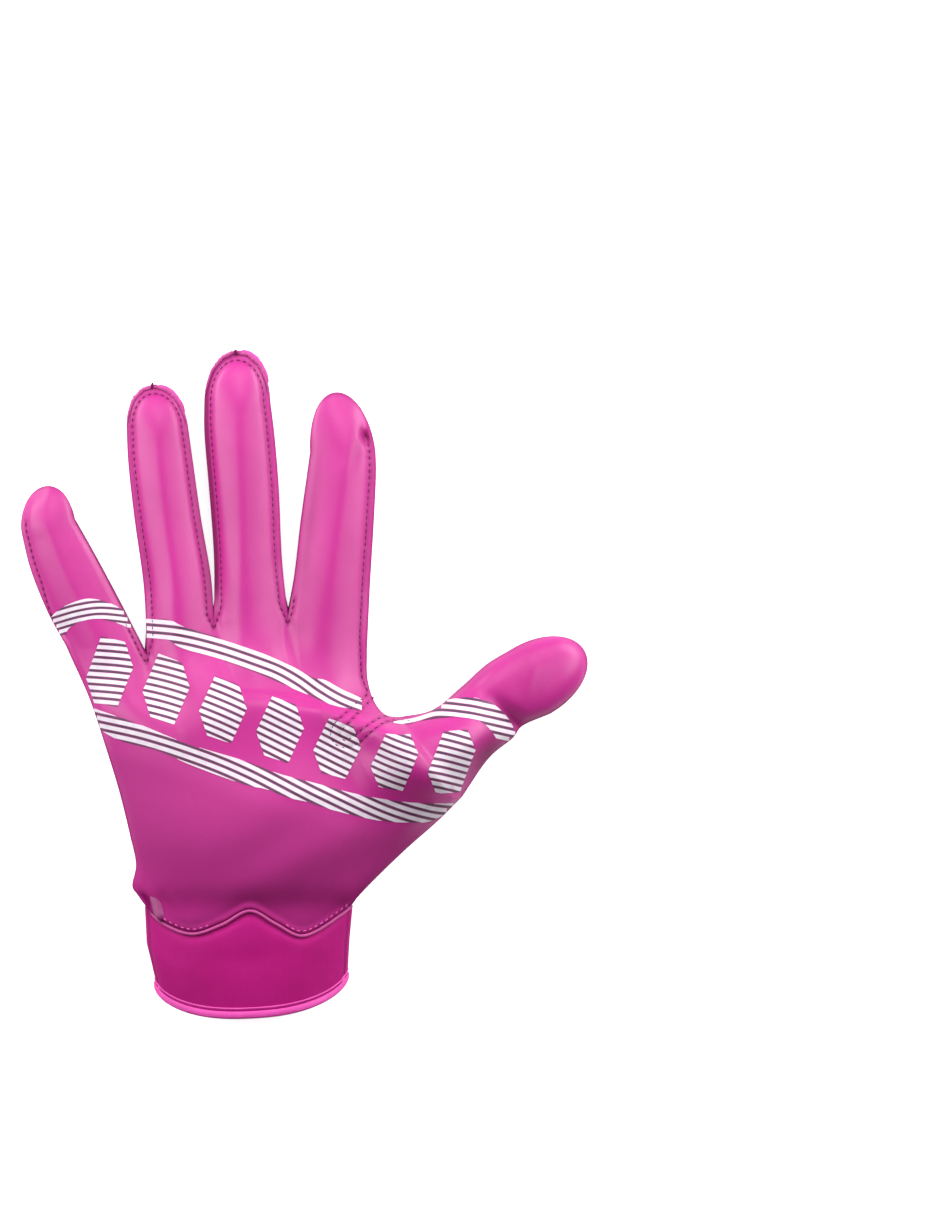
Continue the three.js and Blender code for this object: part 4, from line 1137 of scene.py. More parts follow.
def stripes(x, roof, floor, line, pitch, look, stops):
    """Stripes inside an outline. A stripe's middle is the line moved by a whole number of pitches, and its
    edges are half its width from there, but never outside the outline. Where no width is left it ends."""
    pitch = pitch * np.hypot(1, np.gradient(line, x))
    middle = line - (np.arange(-MOST_STRIPES, MOST_STRIPES)[:, None] + 0.5 + look["offset"]) * pitch
    upper = np.minimum(middle + 0.5 * look["fill"] * pitch, roof)
    lower = np.maximum(middle - 0.5 * look["fill"] * pitch, floor)
    change = np.diff(np.pad(upper - lower > LEAST_WIDTH, ((0, 0), (1, 1))).astype(int), axis=1)
    (which, first), last = np.nonzero(change > 0), np.nonzero(change < 0)[1] - 1
    long_enough = x[last] - x[first] > LEAST_LENGTH
    which, first, last = (part[long_enough, None] for part in (which, first, last))
    stop = lerp(first, last, np.linspace(0, 1, stops)[None])
    before, share = np.floor(stop).astype(int), stop % 1
    after = np.minimum(before + 1, len(x) - 1)
    high = lerp(upper[which, before], upper[which, after], share)
    low = lerp(lower[which, before], lower[which, after], share)
    across = lerp(high[..., None], low[..., None], np.linspace(0, 1, POINTS_ACROSS))
    return np.stack([np.broadcast_to(lerp(x[before], x[after], share)[..., None], across.shape), across], -1)


def striped_band(band, look):
    """The stripes of a band."""
    return stripes(*region(band), band["pitch"], look, LINE_STOPS["band"])


def striped_lozenges(look):
    """The row of lozenges: a top that rises from the row's middle to full height and falls again for each
    of them, and a bottom that does the same a little to the left."""
    x, top, bottom, line = region(LOZENGES)
    place = LOZENGES["count"] * (x - x[0]) / (x[-1] - x[0]) % 1 * 2 - 1
    half_width = LOZENGES["fill"]

    def height_at(shift):
        return np.clip((half_width - np.abs(place - shift)) / LOZENGES["slant"], -1, 1)

    middle, half = (top + bottom) / 2, (top - bottom) / 2
    roof, floor = middle + half * height_at(LOZENGES["lean"]), middle - half * height_at(-LOZENGES["lean"])
    return stripes(x, roof, floor, line, LOZENGES["pitch"], look, LINE_STOPS["lozenge"])


def print_rings(palm, look):
    """Rings of all printed lines of one ink."""
    lines = [striped_band(band, look) for band in BANDS] + [striped_lozenges(look)]
    return [printed(across, look, palm) for across in lines]


def print_piece(name, palm, look, material, slot):
    """All lines of one ink as a piece: flat slabs laid on the palm."""
    parts = [carried(rings) for rings in print_rings(palm, look)]
    points, faces = joined(parts)
    return build(name, points, faces, material, slot, sharp=40.0)


def joined(parts):
    """Several point and face lists as one."""
    points, faces, count = [], [], 0
    for part_points, part_faces in parts:
        faces += [[corner + count for corner in face] for face in part_faces]
        points.append(part_points)
        count += len(part_points)
    return np.vstack(points), faces


# The back of the glove

# Soft creases that lift the flat back off the floor, fading out between two heights
BACK_LIFT = (0.5, 3)
BACK_FOLDS = [
    {"x": -52.0, "y": -38.0, "depth": -0.7, "long": 20.0, "wide": 4.0, "turn": 0.3},
    {"x": -10.0, "y": -52.0, "depth": -0.8, "long": 26.0, "wide": 4.5, "turn": -0.1},
    {"x": 14.0, "y": -30.0, "depth": -0.7, "long": 18.0, "wide": 4.0, "turn": 0.9},
]


# How much lower than the seam the back's rim runs at the sides, and the shares of the palm's length from
# which the feet of the side walls rise and from which the outline draws in under the flanges
RIM_EASE = 0.15
FEET_FROM = 0.86
DRAWN_IN_FROM = 0.75
# Points of the back's top row that are higher than this belong to its rims at the crotches
FOOT_HEIGHT = 1
# Between which places round a tip a back's rim rises to the flange
RIM_RISE = (0.1, 0.9)


def palm_rim(across, up):
    """The height at which the back ends under the palm's edge."""
    wide = np.abs(2 * across - 1)
    under_flange = PALM_WALL * smooth(ARCH_SHARES["fingers"], FLANGE_FROM, up)
    rim = palm_seam(up) - SEAM_GAP - RIM_EASE * wide - under_flange
    return np.where(up >= 1, FINGERS[0]["seam"][0] - PALM_WALL - SEAM_GAP, rim)


def back_rim(index, across, v, q):
    """Height of a finger back's rim: low where a side wall stands on it, up to the flange on the hand's
    outer sides and round the tip."""
    under_flange = finger_level(FINGERS[index]["seam"], v, q) - PALM_WALL - SEAM_GAP
    last = len(FINGERS) - 1
    outer = ((index == 0) & (across < 0)) | ((index == last) & (across > 0))
    return np.where(outer, under_flange, lerp(WEB_LIP, under_flange, smooth(*RIM_RISE, q)))


def palm_back(across, up):
    """The back of the hand: flat in its middle, rising by a quarter round to the rim at the sides."""
    index, local = finger_place(across)
    rim = palm_rim(across, up)
    beside_thumb = (up > THUMB_START) & (up < THUMB_END)
    opening = np.where(beside_thumb, lip_at(across_thumb(up)), 1)
    inner = WEB_LIP * lip_at(local) * smooth(FEET_FROM, 1, up)
    left = (index == 0) & (local < 0)
    right = (index == len(FINGERS) - 1) & (local > 0)
    return np.where(left, rim * lip_at(local), np.where(right, rim * lip_at(local) * opening, inner))


def knit_back(material):
    """The knitted back of the hand and of the four fingers."""
    left, right = CUFF_LEFT[0] + TURNED_SEAM, CUFF_RIGHT[0] - TURNED_SEAM

    def bottom(across):
        return np.stack([lerp(left, right, across), np.full_like(across, BACK_SEAM + WRIST_GAP)], -1)

    narrow, wide = palm_plan(TURNED_SEAM, bottom), palm_plan(FLANGE, bottom)
    plans = [finger_plan(f, (FLANGE, FLANGE), root_ends(i, FLANGE)) for i, f in enumerate(FINGERS)]
    places = cell_places(LIP_START, edge_cells=7, middle_cells=10)

    def palm_at(across, up):
        place = lerp(narrow(across, up), wide(across, up), smooth(DRAWN_IN_FROM, 1, up)[..., None])
        height = palm_back(across, up)
        side = (across == 0) | ((across == 1) & ((up <= THUMB_START) | (up >= THUMB_END)))
        rim = np.where(side | ((up == 1) & (height > FOOT_HEIGHT)), LEVEL, FREE)
        return np.dstack([place, height]), rim

    def finger_at(index, across, v, q):
        height = back_rim(index, across, v, q) * lip_at(edge_measure(across, q))
        rim = np.where((np.abs(across) == 1) | (q == 1), LEVEL, FREE)
        return np.dstack([plans[index](across, v, q), height]), rim

    points, faces, rim = hand_sheet(places, palm_at, finger_at).whole()
    lift = np.maximum(0, -fold_depth(points[:, :2], BACK_FOLDS))
    points[:, 2] += lift * (1 - smooth(*BACK_LIFT, points[:, 2]))
    both, all_faces = thicken(points, faces[:, ::-1], rim, BACK_WALL)
    return build("knit_back", both, all_faces, material, "back_knit", ["back_panel"])


def knit_thumb(material):
    """The knitted back and sides of the thumb."""
    plan = finger_plan(THUMB, (TURNED_SEAM, TURNED_SEAM), thumb_root(TURNED_SEAM))
    root = THUMB["rows"][0]
    ahead = np.array([root[1] - root[3], root[2] - root[0]])
    ahead = ahead / np.linalg.norm(ahead)
    across, v, q = finger_grids(cell_places(LIP_START, edge_cells=8, middle_cells=14))
    # The gap at the root closes over a twelfth of the shaft
    clear = THUMB_GAP * np.clip(1 - v * 12, 0, 1)
    xy = plan(across, v, q) + ahead * clear[..., None]
    height = (finger_level(THUMB["seam"], v, q) - 2 * SEAM_GAP) * lip_at(edge_measure(across, q))
    sheet = Sheet()
    sheet.add(np.dstack([xy, height]), np.where((np.abs(across) == 1) | (q == 1), LEVEL, FREE))
    points, faces, rim = sheet.whole()
    both, all_faces = thicken(points, faces[:, ::-1], rim, BACK_WALL)
    return build("knit_thumb", both, all_faces, material, "back_knit", ["thumb_back"])


# A side wall's gap under the flange beyond the seams', its least height, its rows, and how far round a tip
# it reaches
SIDE_TOP = 0.1
LEAST_SIDE = 0.6
SIDE_ROWS = 10
SIDE_REACH = 0.5


def side_wall(index, material):
    """The strip between two fingers: from near one tip down to the crotch and up the next finger. It
    stands upright on the back's rim and ends under the palm's flange."""
    stations = []
    for which, across, order in ((index, 1.0, -1), (index + 1, -1.0, 1)):
        plan = finger_plan(FINGERS[which], finger_insets(FINGERS[which], FLANGE), root_ends(which, FLANGE))
        tip = np.linspace(0, SIDE_REACH, TIP_ROWS // 2 + 1)[1:]
        v = np.concatenate([np.linspace(0, 1, SHAFT_ROWS + 1), np.ones(len(tip))])
        q = np.concatenate([np.zeros(SHAFT_ROWS + 1), tip])
        over = np.full_like(v, across)
        low = back_rim(which, over, v, q) + SEAM_GAP
        high = finger_level(FINGERS[which]["seam"], v, q) - PALM_WALL - SEAM_GAP - SIDE_TOP
        station = np.column_stack([plan(over, v, q), low, np.maximum(high, low + LEAST_SIDE)])
        stations.append(station[::order])
    path = np.vstack([stations[0], stations[1][1:]])
    share = np.linspace(0, 1, SIDE_ROWS + 1)[:, None]
    height = lerp(path[:, 2], path[:, 3], share)
    xy = np.broadcast_to(path[:, :2], height.shape + (2,))
    sheet = Sheet()
    sheet.add(np.dstack([xy, height]), LEVEL)
    points, faces, rim = sheet.whole()
    both, all_faces = thicken(points, faces, rim, SIDE_WALL)
    pair = f"{FINGERS[index]['name']}_{FINGERS[index + 1]['name']}"
    return build(f"gusset_{pair}", both, all_faces, material, "back_knit", [f"side_wall_{pair}"])


# The cuff

CUFF_FOLDS = [
    {"x": -48.0, "y": -92.0, "depth": 0.5, "long": 12.0, "wide": 2.6, "turn": 1.75},
    {"x": -20.0, "y": -98.0, "depth": 0.5, "long": 16.0, "wide": 5.0, "turn": 0.1},
    {"x": 8.0, "y": -94.0, "depth": -0.4, "long": 12.0, "wide": 5.0, "turn": -0.4},
]


# The pressed line of the cuff's side seams, in from the edge; its mark is painted shade in the finish
CUFF_LINE = {"inset": 1.5, "width": 0.45, "depth": 0.5}
# The front's soft swell, and its dip under the wavy seam with its length as a share of the cuff's
CUFF_SWELL = {"rise": 0.5, "dip": 0.9, "long": 0.07}
# Points round a half of the cuff and down it
CUFF_POINTS = {"round": 121, "down": 37}


def cuff_at(turn, down, face):
    """The cuff's outer face: turn from -1 at the little finger's side to 1 at the thumb's, down from 0 at
    the seam to 1 at the hem, face 1 for the palm side and -1 for the back. Height follows the wrist's
    arch in front and behind a floor with round sides, sqrt(1 - |across|^square)."""
    stations = np.linspace(0, 1, len(CUFF_LEFT))
    left, right = np.interp(down, stations, CUFF_LEFT), np.interp(down, stations, CUFF_RIGHT)
    wide = np.sin(turn * np.pi / 2)
    x = lerp(left, right, (wide + 1) / 2)
    arch = arch_at(wide)
    hem = HEM_SIDE - HEM_DROP[face] * arch + HEM_TILT * wide
    seam = beside_wave((wide + 1) / 2, -1)[..., 1] if face > 0 else BACK_SEAM
    square = lerp(CUFF_MEET["square"], CUFF_SQUARE, smooth(0, CUFF_MEET["reach"], down))
    level = lerp(CUFF_MEET["floor"], CUFF_FLOOR, smooth(0, CUFF_MEET["drop"], down))
    top, floor = WRIST_SEAM + WRIST_ARCH * arch, lerp(WRIST_SEAM, level, np.sqrt(1 - np.abs(wide) ** square))
    return np.stack(np.broadcast_arrays(x, lerp(seam, hem, down), top if face > 0 else floor), -1)


def cuff_half(name, face, stands_for, material):
    """Half of the cuff, front or back, with soft folds on the front."""
    downwards = (1 + CUFF_TUCK) * np.linspace(1, 0, CUFF_POINTS["down"])
    turn, down = np.meshgrid(np.linspace(-1, 1, CUFF_POINTS["round"]), downwards)
    points = cuff_at(turn, down, face)
    side = np.abs(turn) == 1
    points[..., 2] += np.where(side, face * SEAM_GAP / 2, 0)
    if face > 0:
        inside = arch_at(np.sin(turn * np.pi / 2))
        dip = CUFF_SWELL["dip"] * bump(down, CUFF_SWELL["long"])
        points[..., 2] += inside * (CUFF_SWELL["rise"] * np.sin(np.pi * down) - dip)
        points[..., 2] -= inside * fold_depth(points[..., :2], CUFF_FOLDS)
    half_width = (points[:, -1:, 0] - points[:, :1, 0]) / 2
    from_side = half_width * (1 - np.abs(np.sin(turn * np.pi / 2)))
    line = bump(from_side - CUFF_LINE["inset"], CUFF_LINE["width"]) if face > 0 else 0 * from_side
    points[..., 2] -= CUFF_LINE["depth"] * line
    sheet = Sheet()
    sheet.add(points, np.where(side, LEVEL, FREE))
    flat_points, faces, rim = sheet.whole()
    faces = faces if face > 0 else faces[:, ::-1]
    both, all_faces = thicken(flat_points, faces, rim, CUFF_WALL)
    # The pressed line as the seam mark: painted shade
    marks = {"seam": np.tile(line.ravel(), 2)}
    return build(name, both, all_faces, material, "cuff_satin", [stands_for], marks=marks)


def hem_ring(turns):
    """The hem's stops round the mouth with their outward directions in the x-z plane: over the front
    from left to right and back under the wrist."""
    front = np.linspace(-1, 1, turns // 2 + 1)[:-1]
    places = np.vstack([cuff_at(front, np.ones_like(front), 1), cuff_at(-front, np.ones_like(front), -1)])
    middle, half = (CUFF_LEFT[-1] + CUFF_RIGHT[-1]) / 2, (CUFF_RIGHT[-1] - CUFF_LEFT[-1]) / 2
    angle = np.arctan2((places[:, 2] - WRIST_SEAM) / WRIST_ARCH, (places[:, 0] - middle) / half)
    return places, np.column_stack([np.cos(angle), np.zeros(turns), np.sin(angle)])


# The line that stitches press in the hem: its depth, how far below the cuff's end it runs, its width, and
# how far in from the tape's face it is pressed; then the stitches in it
HEM_LINE = {"depth": 0.8, "below": 0.8, "wide": 0.4, "within": 0.6}
HEM_STITCH = {"length": 1.5, "width": 0.5, "height": 0.45, "pitch": 2.2, "sink": 0.75}


def hem_binding(material):
    """The bound hem: a rounded square section, sign · sqrt|cos| and sign · sqrt|sin|, carried round the
    mouth, with the stitches' pressed line."""
    turns, sides = 240, 32
    places, outward = hem_ring(turns)
    phi = np.arange(sides) * 2 * np.pi / sides
    squared = [np.sign(side) * np.abs(side) ** 0.5 for side in (np.cos(phi), np.sin(phi))]
    out = BINDING["proud"] - BINDING["wall"] / 2 + squared[0] * BINDING["wall"] / 2
    down = -BINDING["clear"] - BINDING["length"] / 2 - squared[1] * BINDING["length"] / 2
    pressed = HEM_LINE["depth"] * bump(down + HEM_LINE["below"], HEM_LINE["wide"])
    out = out - np.where(out > BINDING["proud"] - HEM_LINE["within"], pressed, 0)
    rings = places[:, None] + outward[:, None] * out[None, :, None]
    rings[..., 1] += down[None]
    points, faces = carried(rings[None], closed=True)
    return build("hem_binding", points, faces, material, "binding", ["cuff_binding"], sharp=60.0)


def hem_stitches(material):
    """Stitches round the front and back of the bound hem."""
    line = np.column_stack(hem_ring(360))
    wrapped = np.vstack([line, line[:1]])
    steps = np.linalg.norm(np.diff(wrapped[:, :3], axis=0), axis=1)
    run = np.concatenate([[0], np.cumsum(steps)])
    at = np.linspace(0, run[-1], int(run[-1] / HEM_STITCH["pitch"]), endpoint=False)
    found = np.stack([np.interp(at, run, column) for column in wrapped.T], -1)
    place, normal = found[:, :3], found[:, 3:]
    normal = normal / np.linalg.norm(normal, axis=1, keepdims=True)
    along = np.roll(place, -1, 0) - np.roll(place, 1, 0)
    along /= np.linalg.norm(along, axis=1, keepdims=True)
    place = place + normal * (BINDING["proud"] - HEM_STITCH["sink"])
    place[:, 1] -= HEM_LINE["below"]
    points, faces = carried(stitch_rings(place, along, normal, HEM_STITCH))
    return build("hem_stitches", points, faces, material, "thread")


def wave_line():
    """The middle line of the piping on the wavy seam."""
    wide = PIPING_REACH * np.sin(np.linspace(-1, 1, 160) * np.pi / 2)
    across = (wide + 1) / 2
    z = WRIST_SEAM + (WRIST_ARCH + PIPING_RISE) * arch_at(wide) - CORD_RADIUS
    return PlanCurve(np.column_stack([lerp(WAVE_LEFT, WAVE_RIGHT, across), wave_height(across), z]), 3)


def wave_cord(material):
    """The piping: a twelve-sided round section carried along the wavy seam, closed by rounded ends."""
    line = wave_line()
    k = np.linspace(0, 1, 280)
    end = np.minimum(k, 1 - k) * line.length / PIPING_RADIUS
    radius = CORD_RADIUS * np.sqrt(np.clip(1 - (1 - np.clip(end, 0.02, 1)) ** 2, 0, 1))
    points, faces = tube(line.even(k), radius)
    return build("wave_cord", points, faces, material, "binding", ["wave_piping"])


# The strap's section: how far its outline steps in at each height
STRAP_SECTION = [(0.5, 0.0), (0.12, 0.15), (0.0, 0.5), (0.0, 1.7), (0.12, 2.05), (0.5, STRAP["thickness"])]


def closing_strap(material):
    """The strap under the wrist: its outline with rounded free corners, in rings that step in at the
    bottom and top edge like a pressed tape."""
    corner, blunt = STRAP["corner"], 1.0
    turn = np.linspace(0, np.pi / 2, 14)
    inner, high, low = STRAP["left"] + corner, STRAP["top"] - corner, STRAP["bottom"] + corner
    upper = np.column_stack([inner - corner * np.sin(turn), high + corner * np.cos(turn)])
    lower = np.column_stack([inner - corner * np.cos(turn), low - corner * np.sin(turn)])
    right = np.array([(STRAP["right"] - blunt, STRAP["bottom"]), (STRAP["right"], STRAP["bottom"] + blunt),
                      (STRAP["right"], STRAP["top"] - blunt), (STRAP["right"] - blunt, STRAP["top"])])
    outline = np.vstack([right, upper, lower])
    centre = (outline.max(0) + outline.min(0)) / 2
    half = (outline.max(0) - outline.min(0)) / 2
    rings = []
    for inset, z in STRAP_SECTION:
        ring = centre + (outline - centre) * (1 - inset / half)
        rings.append(np.column_stack([ring, np.full(len(ring), z)]))
    points, faces = carried(np.array(rings)[None])
    return build("closing_strap", points, faces, material, "strap", ["wrist_strap"])


# The folded end of the palm's leather beside the little finger's side of the wrist, as plan points
WRIST_PLEAT = {"path": [(-54.3, -75.8), (-52.2, -78.8), (-51.2, -82.0), (-49.6, -85.2)], "radius": 1.9,
               "sink": 0.2, "flat": 0.5}


def wrist_pleat(palm, material):
    """The folded end: a soft round section laid on the palm along its path, thin at both ends."""
    k = np.linspace(0, 1, 40)
    xy = PlanCurve(WRIST_PLEAT["path"]).even(k)
    places = np.column_stack([xy, lying_height(palm, xy) - WRIST_PLEAT["sink"]])
    radius = WRIST_PLEAT["radius"] * np.sqrt(np.sin(np.pi * np.clip(k, 0.01, 0.99)))
    points, faces = tube(places, radius, WRIST_PLEAT["flat"])
    return build("wrist_pleat", points, faces, material, "palm_coating")


# Fingertips: the gathered edge along the stitches, the side wall's loop that shows beyond it, and the
# thread's knot. from and to are turns round the tip, 0 at its right; size is a share of the tip's ellipse,
# drop how far below the palm's top a roll runs, and swell how much its pleats widen it.
TIP_ROLLS = [
    {"name": "ring_gathers", "finger": 1, "from": 172, "to": 6, "radius": 0.8, "size": 0.955, "drop": -0.25,
     "swell": 0.16, "pleats": 21},
    {"name": "middle_gathers", "finger": 2, "from": 174, "to": 8, "radius": 0.8, "size": 0.955, "drop": -0.25,
     "swell": 0.16, "pleats": 22},
    {"name": "ring_loop", "finger": 1, "from": 84, "to": 22, "radius": 1.15, "size": 0.985, "drop": 0.9,
     "swell": 0.08, "pleats": 4},
    {"name": "middle_loop", "finger": 2, "from": 84, "to": 20, "radius": 1.25, "size": 0.99, "drop": 0.9,
     "swell": 0.08, "pleats": 4},
]
ROLL_FLAT = 0.8
# How far a roll wanders from its ellipse, as a share of that, and at which part of its pleats' rate
WANDER = {"by": 0.008, "rate": 0.61}
TIP_KNOTS = [(-54.2, 107.8), (-24.3, 119.7)]
KNOT = {"length": 2.6, "width": 1.1, "height": 1.1, "foot": 2.2, "rise": 0.3}
# A knot's own length points up the finger and a little out of the palm
KNOT_AXES = {"along": [0.1, 0.96, 0.26], "up": [0, -0.26, 0.96]}


def tube(places, radius, flat=1.0, sides=12):
    """A round section carried along places: its radius given at each, its height flattened."""
    along = np.gradient(places, axis=0)
    along /= np.linalg.norm(along, axis=1, keepdims=True)
    aside = np.cross([0, 0, 1.0], along)
    aside /= np.linalg.norm(aside, axis=1, keepdims=True)
    up = np.cross(along, aside)
    phi = np.arange(sides) * 2 * np.pi / sides
    around = aside[:, None] * np.cos(phi)[None, :, None] + flat * up[:, None] * np.sin(phi)[None, :, None]
    return carried((places[:, None] + around * radius[:, None, None])[None])


def tip_roll(row, palm, material):
    """A gathered roll on the palm's edge round a fingertip, its radius swelling with the pleats and fading
    at both ends."""
    finger = FINGERS[row["finger"]]
    k = np.linspace(0, 1, 150)
    turn = np.radians(lerp(row["from"], row["to"], k))
    size = row["size"] + WANDER["by"] * np.sin(k * np.pi * row["pleats"] * WANDER["rate"])
    xy = tip_ellipse(finger, size, turn)
    z = lying_height(palm, xy) - row["drop"]
    pleat = 1 + row["swell"] * np.sin(2 * np.pi * k * row["pleats"]) * np.sin(9 * k + 1)
    radius = row["radius"] * pleat * np.sqrt(np.sin(np.pi * np.clip(k, 0.004, 0.996)))
    points, faces = tube(np.column_stack([xy, z]), radius, ROLL_FLAT)
    return build(row["name"], points, faces, material, "back_knit")


def tip_knots(palm, material):
    """The knots of thread that stick out of two fingertips, just over the palm's edge at their foot."""
    xy = np.array(TIP_KNOTS)
    places = np.column_stack([xy, lying_height(palm, xy - (0, KNOT["foot"])) + KNOT["rise"]])
    along, up = (np.tile(KNOT_AXES[axis], (len(places), 1)) for axis in ("along", "up"))
    points, faces = carried(stitch_rings(places, along, up, KNOT))
    return build("tip_knots", points, faces, material, "thread")


# Finishes

def finish(name, rough, **values):
    """A finish: its material, node tree and principled shader. values are numbers or colours set straight
    on the shader's own sockets, named with underscores for blanks."""
    material = bpy.data.materials.new(name)
    material.use_nodes = True
    tree = material.node_tree
    shader = tree.nodes["Principled BSDF"]
    shader.inputs["Roughness"].default_value = rough
    for socket, value in values.items():
        shader.inputs[socket.replace("_", " ")].default_value = value
    return material, tree, shader


def feed(tree, made, inputs):
    """Gives a node its inputs: pairs of a socket, by name or place, and a number, colour or link."""
    for socket, value in inputs:
        if isinstance(value, bpy.types.NodeSocket):
            tree.links.new(value, made.inputs[socket])
        else:
            made.inputs[socket].default_value = value
    return made


def node(tree, kind, inputs=(), **settings):
    """A node with its settings, and inputs as numbers or links by name or place."""
    made = tree.nodes.new(kind)
    for setting, value in settings.items():
        setattr(made, setting, value)
    return feed(tree, made, dict(inputs).items())


def math_node(tree, operation, *terms, clamp=False):
    """The output of one sum on its terms, each a number or a link."""
    return node(tree, "ShaderNodeMath", enumerate(terms), operation=operation, use_clamp=clamp).outputs[0]


def colour_mix(tree, share, a, b, blend="MIX"):
    """The colour share of the way from a to b."""
    mix = node(tree, "ShaderNodeMix", data_type="RGBA", blend_type=blend)
    return feed(tree, mix, [(0, share), (6, a), (7, b)]).outputs[2]


def in_millimetres(tree):
    """The glove's own place, in millimetres."""
    place = node(tree, "ShaderNodeTexCoord").outputs["Object"]
    return node(tree, "ShaderNodeMapping", {"Vector": place, "Scale": (1 / MM,) * 3}).outputs["Vector"]


def new_group(name, inputs, outputs):
    """An empty node group with named sockets: inputs and outputs are pairs of name and kind."""
    group = bpy.data.node_groups.new(name, "ShaderNodeTree")
    for socket, kind in inputs:
        group.interface.new_socket(name=socket, in_out="INPUT", socket_type=f"NodeSocket{kind}")
    for socket, kind in outputs:
        group.interface.new_socket(name=socket, in_out="OUTPUT", socket_type=f"NodeSocket{kind}")
    return group, group.nodes.new("NodeGroupInput"), group.nodes.new("NodeGroupOutput")


def dye_drift_group():
    """Two tones of one dye, mixed by soft clouds of the given size."""
    group, given, result = new_group(
        "dye drift",
        [("Place", "Vector"), ("Tone", "Color"), ("Deep tone", "Color"), ("Size", "Float")],
        [("Colour", "Color"), ("Cloud", "Float")],
    )
    scale = math_node(group, "DIVIDE", 1.0, given.outputs["Size"])
    place = given.outputs["Place"]
    cloud = node(group, "ShaderNodeTexNoise", {"Vector": place, "Scale": scale, "Detail": 3.0})
    limits = {"Value": cloud.outputs[0], "From Min": 0.35, "From Max": 0.65}
    share = node(group, "ShaderNodeMapRange", limits)
    mixed = colour_mix(group, share.outputs[0], given.outputs["Tone"], given.outputs["Deep tone"])
    group.links.new(mixed, result.inputs["Colour"])
    group.links.new(share.outputs[0], result.inputs["Cloud"])
    return group


def grain_group():
    """Pebbled grain: rounded cells of the given size with a little fine noise, as a height."""
    group, given, result = new_group(
        "pebble grain", [("Place", "Vector"), ("Size", "Float")], [("Height", "Float")]
    )
    scale = math_node(group, "DIVIDE", 1.0, given.outputs["Size"])
    place = given.outputs["Place"]
    cells = node(group, "ShaderNodeTexVoronoi", {"Vector": place, "Scale": scale}, feature="SMOOTH_F1")
    fine = node(group, "ShaderNodeTexNoise", {"Vector": place, "Scale": scale, "Detail": 2.0})
    pebbles = math_node(group, "SUBTRACT", 1.0, cells.outputs["Distance"])
    height = math_node(group, "MULTIPLY_ADD", fine.outputs[0], 0.4, pebbles)
    group.links.new(height, result.inputs["Height"])
    return group


def knit_group():
    """Knitted rows: ridges across one way, notched at each stitch the other way, as a height."""
    group, given, result = new_group(
        "knit rows",
        [("Place", "Vector"), ("Wale", "Float"), ("Course", "Float")],
        [("Height", "Float")],
    )
    parts = node(group, "ShaderNodeSeparateXYZ", {0: given.outputs["Place"]}).outputs
    wale = math_node(group, "DIVIDE", parts[0], given.outputs["Wale"])
    course = math_node(group, "DIVIDE", parts[1], given.outputs["Course"])
    ridge = math_node(group, "ABSOLUTE", math_node(group, "SINE", math_node(group, "MULTIPLY", wale, np.pi)))
    lean = math_node(group, "MULTIPLY", ridge, 0.5)
    phase = math_node(group, "MULTIPLY", math_node(group, "ADD", course, lean), 2 * np.pi)
    notch = math_node(group, "MULTIPLY", math_node(group, "SINE", phase), 0.35)
    height = math_node(group, "ADD", ridge, notch)
    group.links.new(height, result.inputs["Height"])
    return group


DYE_DRIFT = dye_drift_group()
PEBBLE_GRAIN = grain_group()
KNIT_ROWS = knit_group()


def placed_group(tree, group, inputs):
    """The outputs of a node group placed in a finish, with its inputs as numbers or links by name."""
    made = tree.nodes.new("ShaderNodeGroup")
    made.node_tree = group
    return feed(tree, made, inputs.items()).outputs


def dyed(tree, place, tone, deep_tone, size):
    """The outputs of the dye's drift between two tones, in clouds of a size."""
    return placed_group(tree, DYE_DRIFT, {"Place": place, "Tone": tone, "Deep tone": deep_tone, "Size": size})


def add_relief(tree, shader, height, depth_mm, strength=1.0):
    """Bumps the shader's normal by a height whose 1 is depth_mm."""
    relief = node(tree, "ShaderNodeBump", {"Height": height, "Distance": depth_mm * MM, "Strength": strength})
    tree.links.new(relief.outputs["Normal"], shader.inputs["Normal"])


# The dyes, as linear red, green, blue and alpha
MAGENTA = {
    "palm": (0.55, 0.028, 0.275, 1),
    "palm_deep": (0.49, 0.022, 0.240, 1),
    "palm_worn": (0.44, 0.034, 0.225, 1),
    "knit": (0.34, 0.012, 0.17, 1),
    "knit_deep": (0.25, 0.008, 0.12, 1),
    "cuff": (0.46, 0.008, 0.195, 1),
    "cuff_deep": (0.42, 0.006, 0.17, 1),
    # The tape is brighter than the palm's dye: partly its own colour, partly painted light on the hem, which
    # faces away from the lights
    "tape": (0.92, 0.08, 0.50, 1),
    "tape_deep": (0.76, 0.050, 0.40, 1),
    # The pleat is the palm's leather in a darker tone: painted shade of the fold
    "pleat": (0.32, 0.040, 0.175, 1),
    "pleat_deep": (0.26, 0.030, 0.145, 1),
    "cord": (0.56, 0.060, 0.30, 1),
    "cord_deep": (0.46, 0.045, 0.24, 1),
    "strap": (0.26, 0.010, 0.13, 1),
    "strap_deep": (0.20, 0.008, 0.10, 1),
    "thread": (0.20, 0.007, 0.090, 1),
    "thread_deep": (0.13, 0.004, 0.06, 1),
}


# The coated leather's roughness and gloss where it is clean, and how clouds, wear and the seam mark change
# them
PALM_ROUGH = {"clean": 0.39, "cloud": 0.05, "worn": 0.25, "seam": 0.12}
PALM_GLOSS = {"clean": 0.5, "worn": -0.35, "seam": -0.3}
# How dark the seam mark's painted shade makes a finish, the size of a dye's clouds in mm, and the leather's
# pebbles
SEAM_PAINTED_SHADE = {"leather": 0.75, "cloth": 0.6}
CLOUD_SIZE = {"leather": 24.0, "cloth": 16.0, "ink": 3.0}
PEBBLE = {"size": 0.8, "strength": 0.5, "depth": 0.05, "under_ink": 0.03}


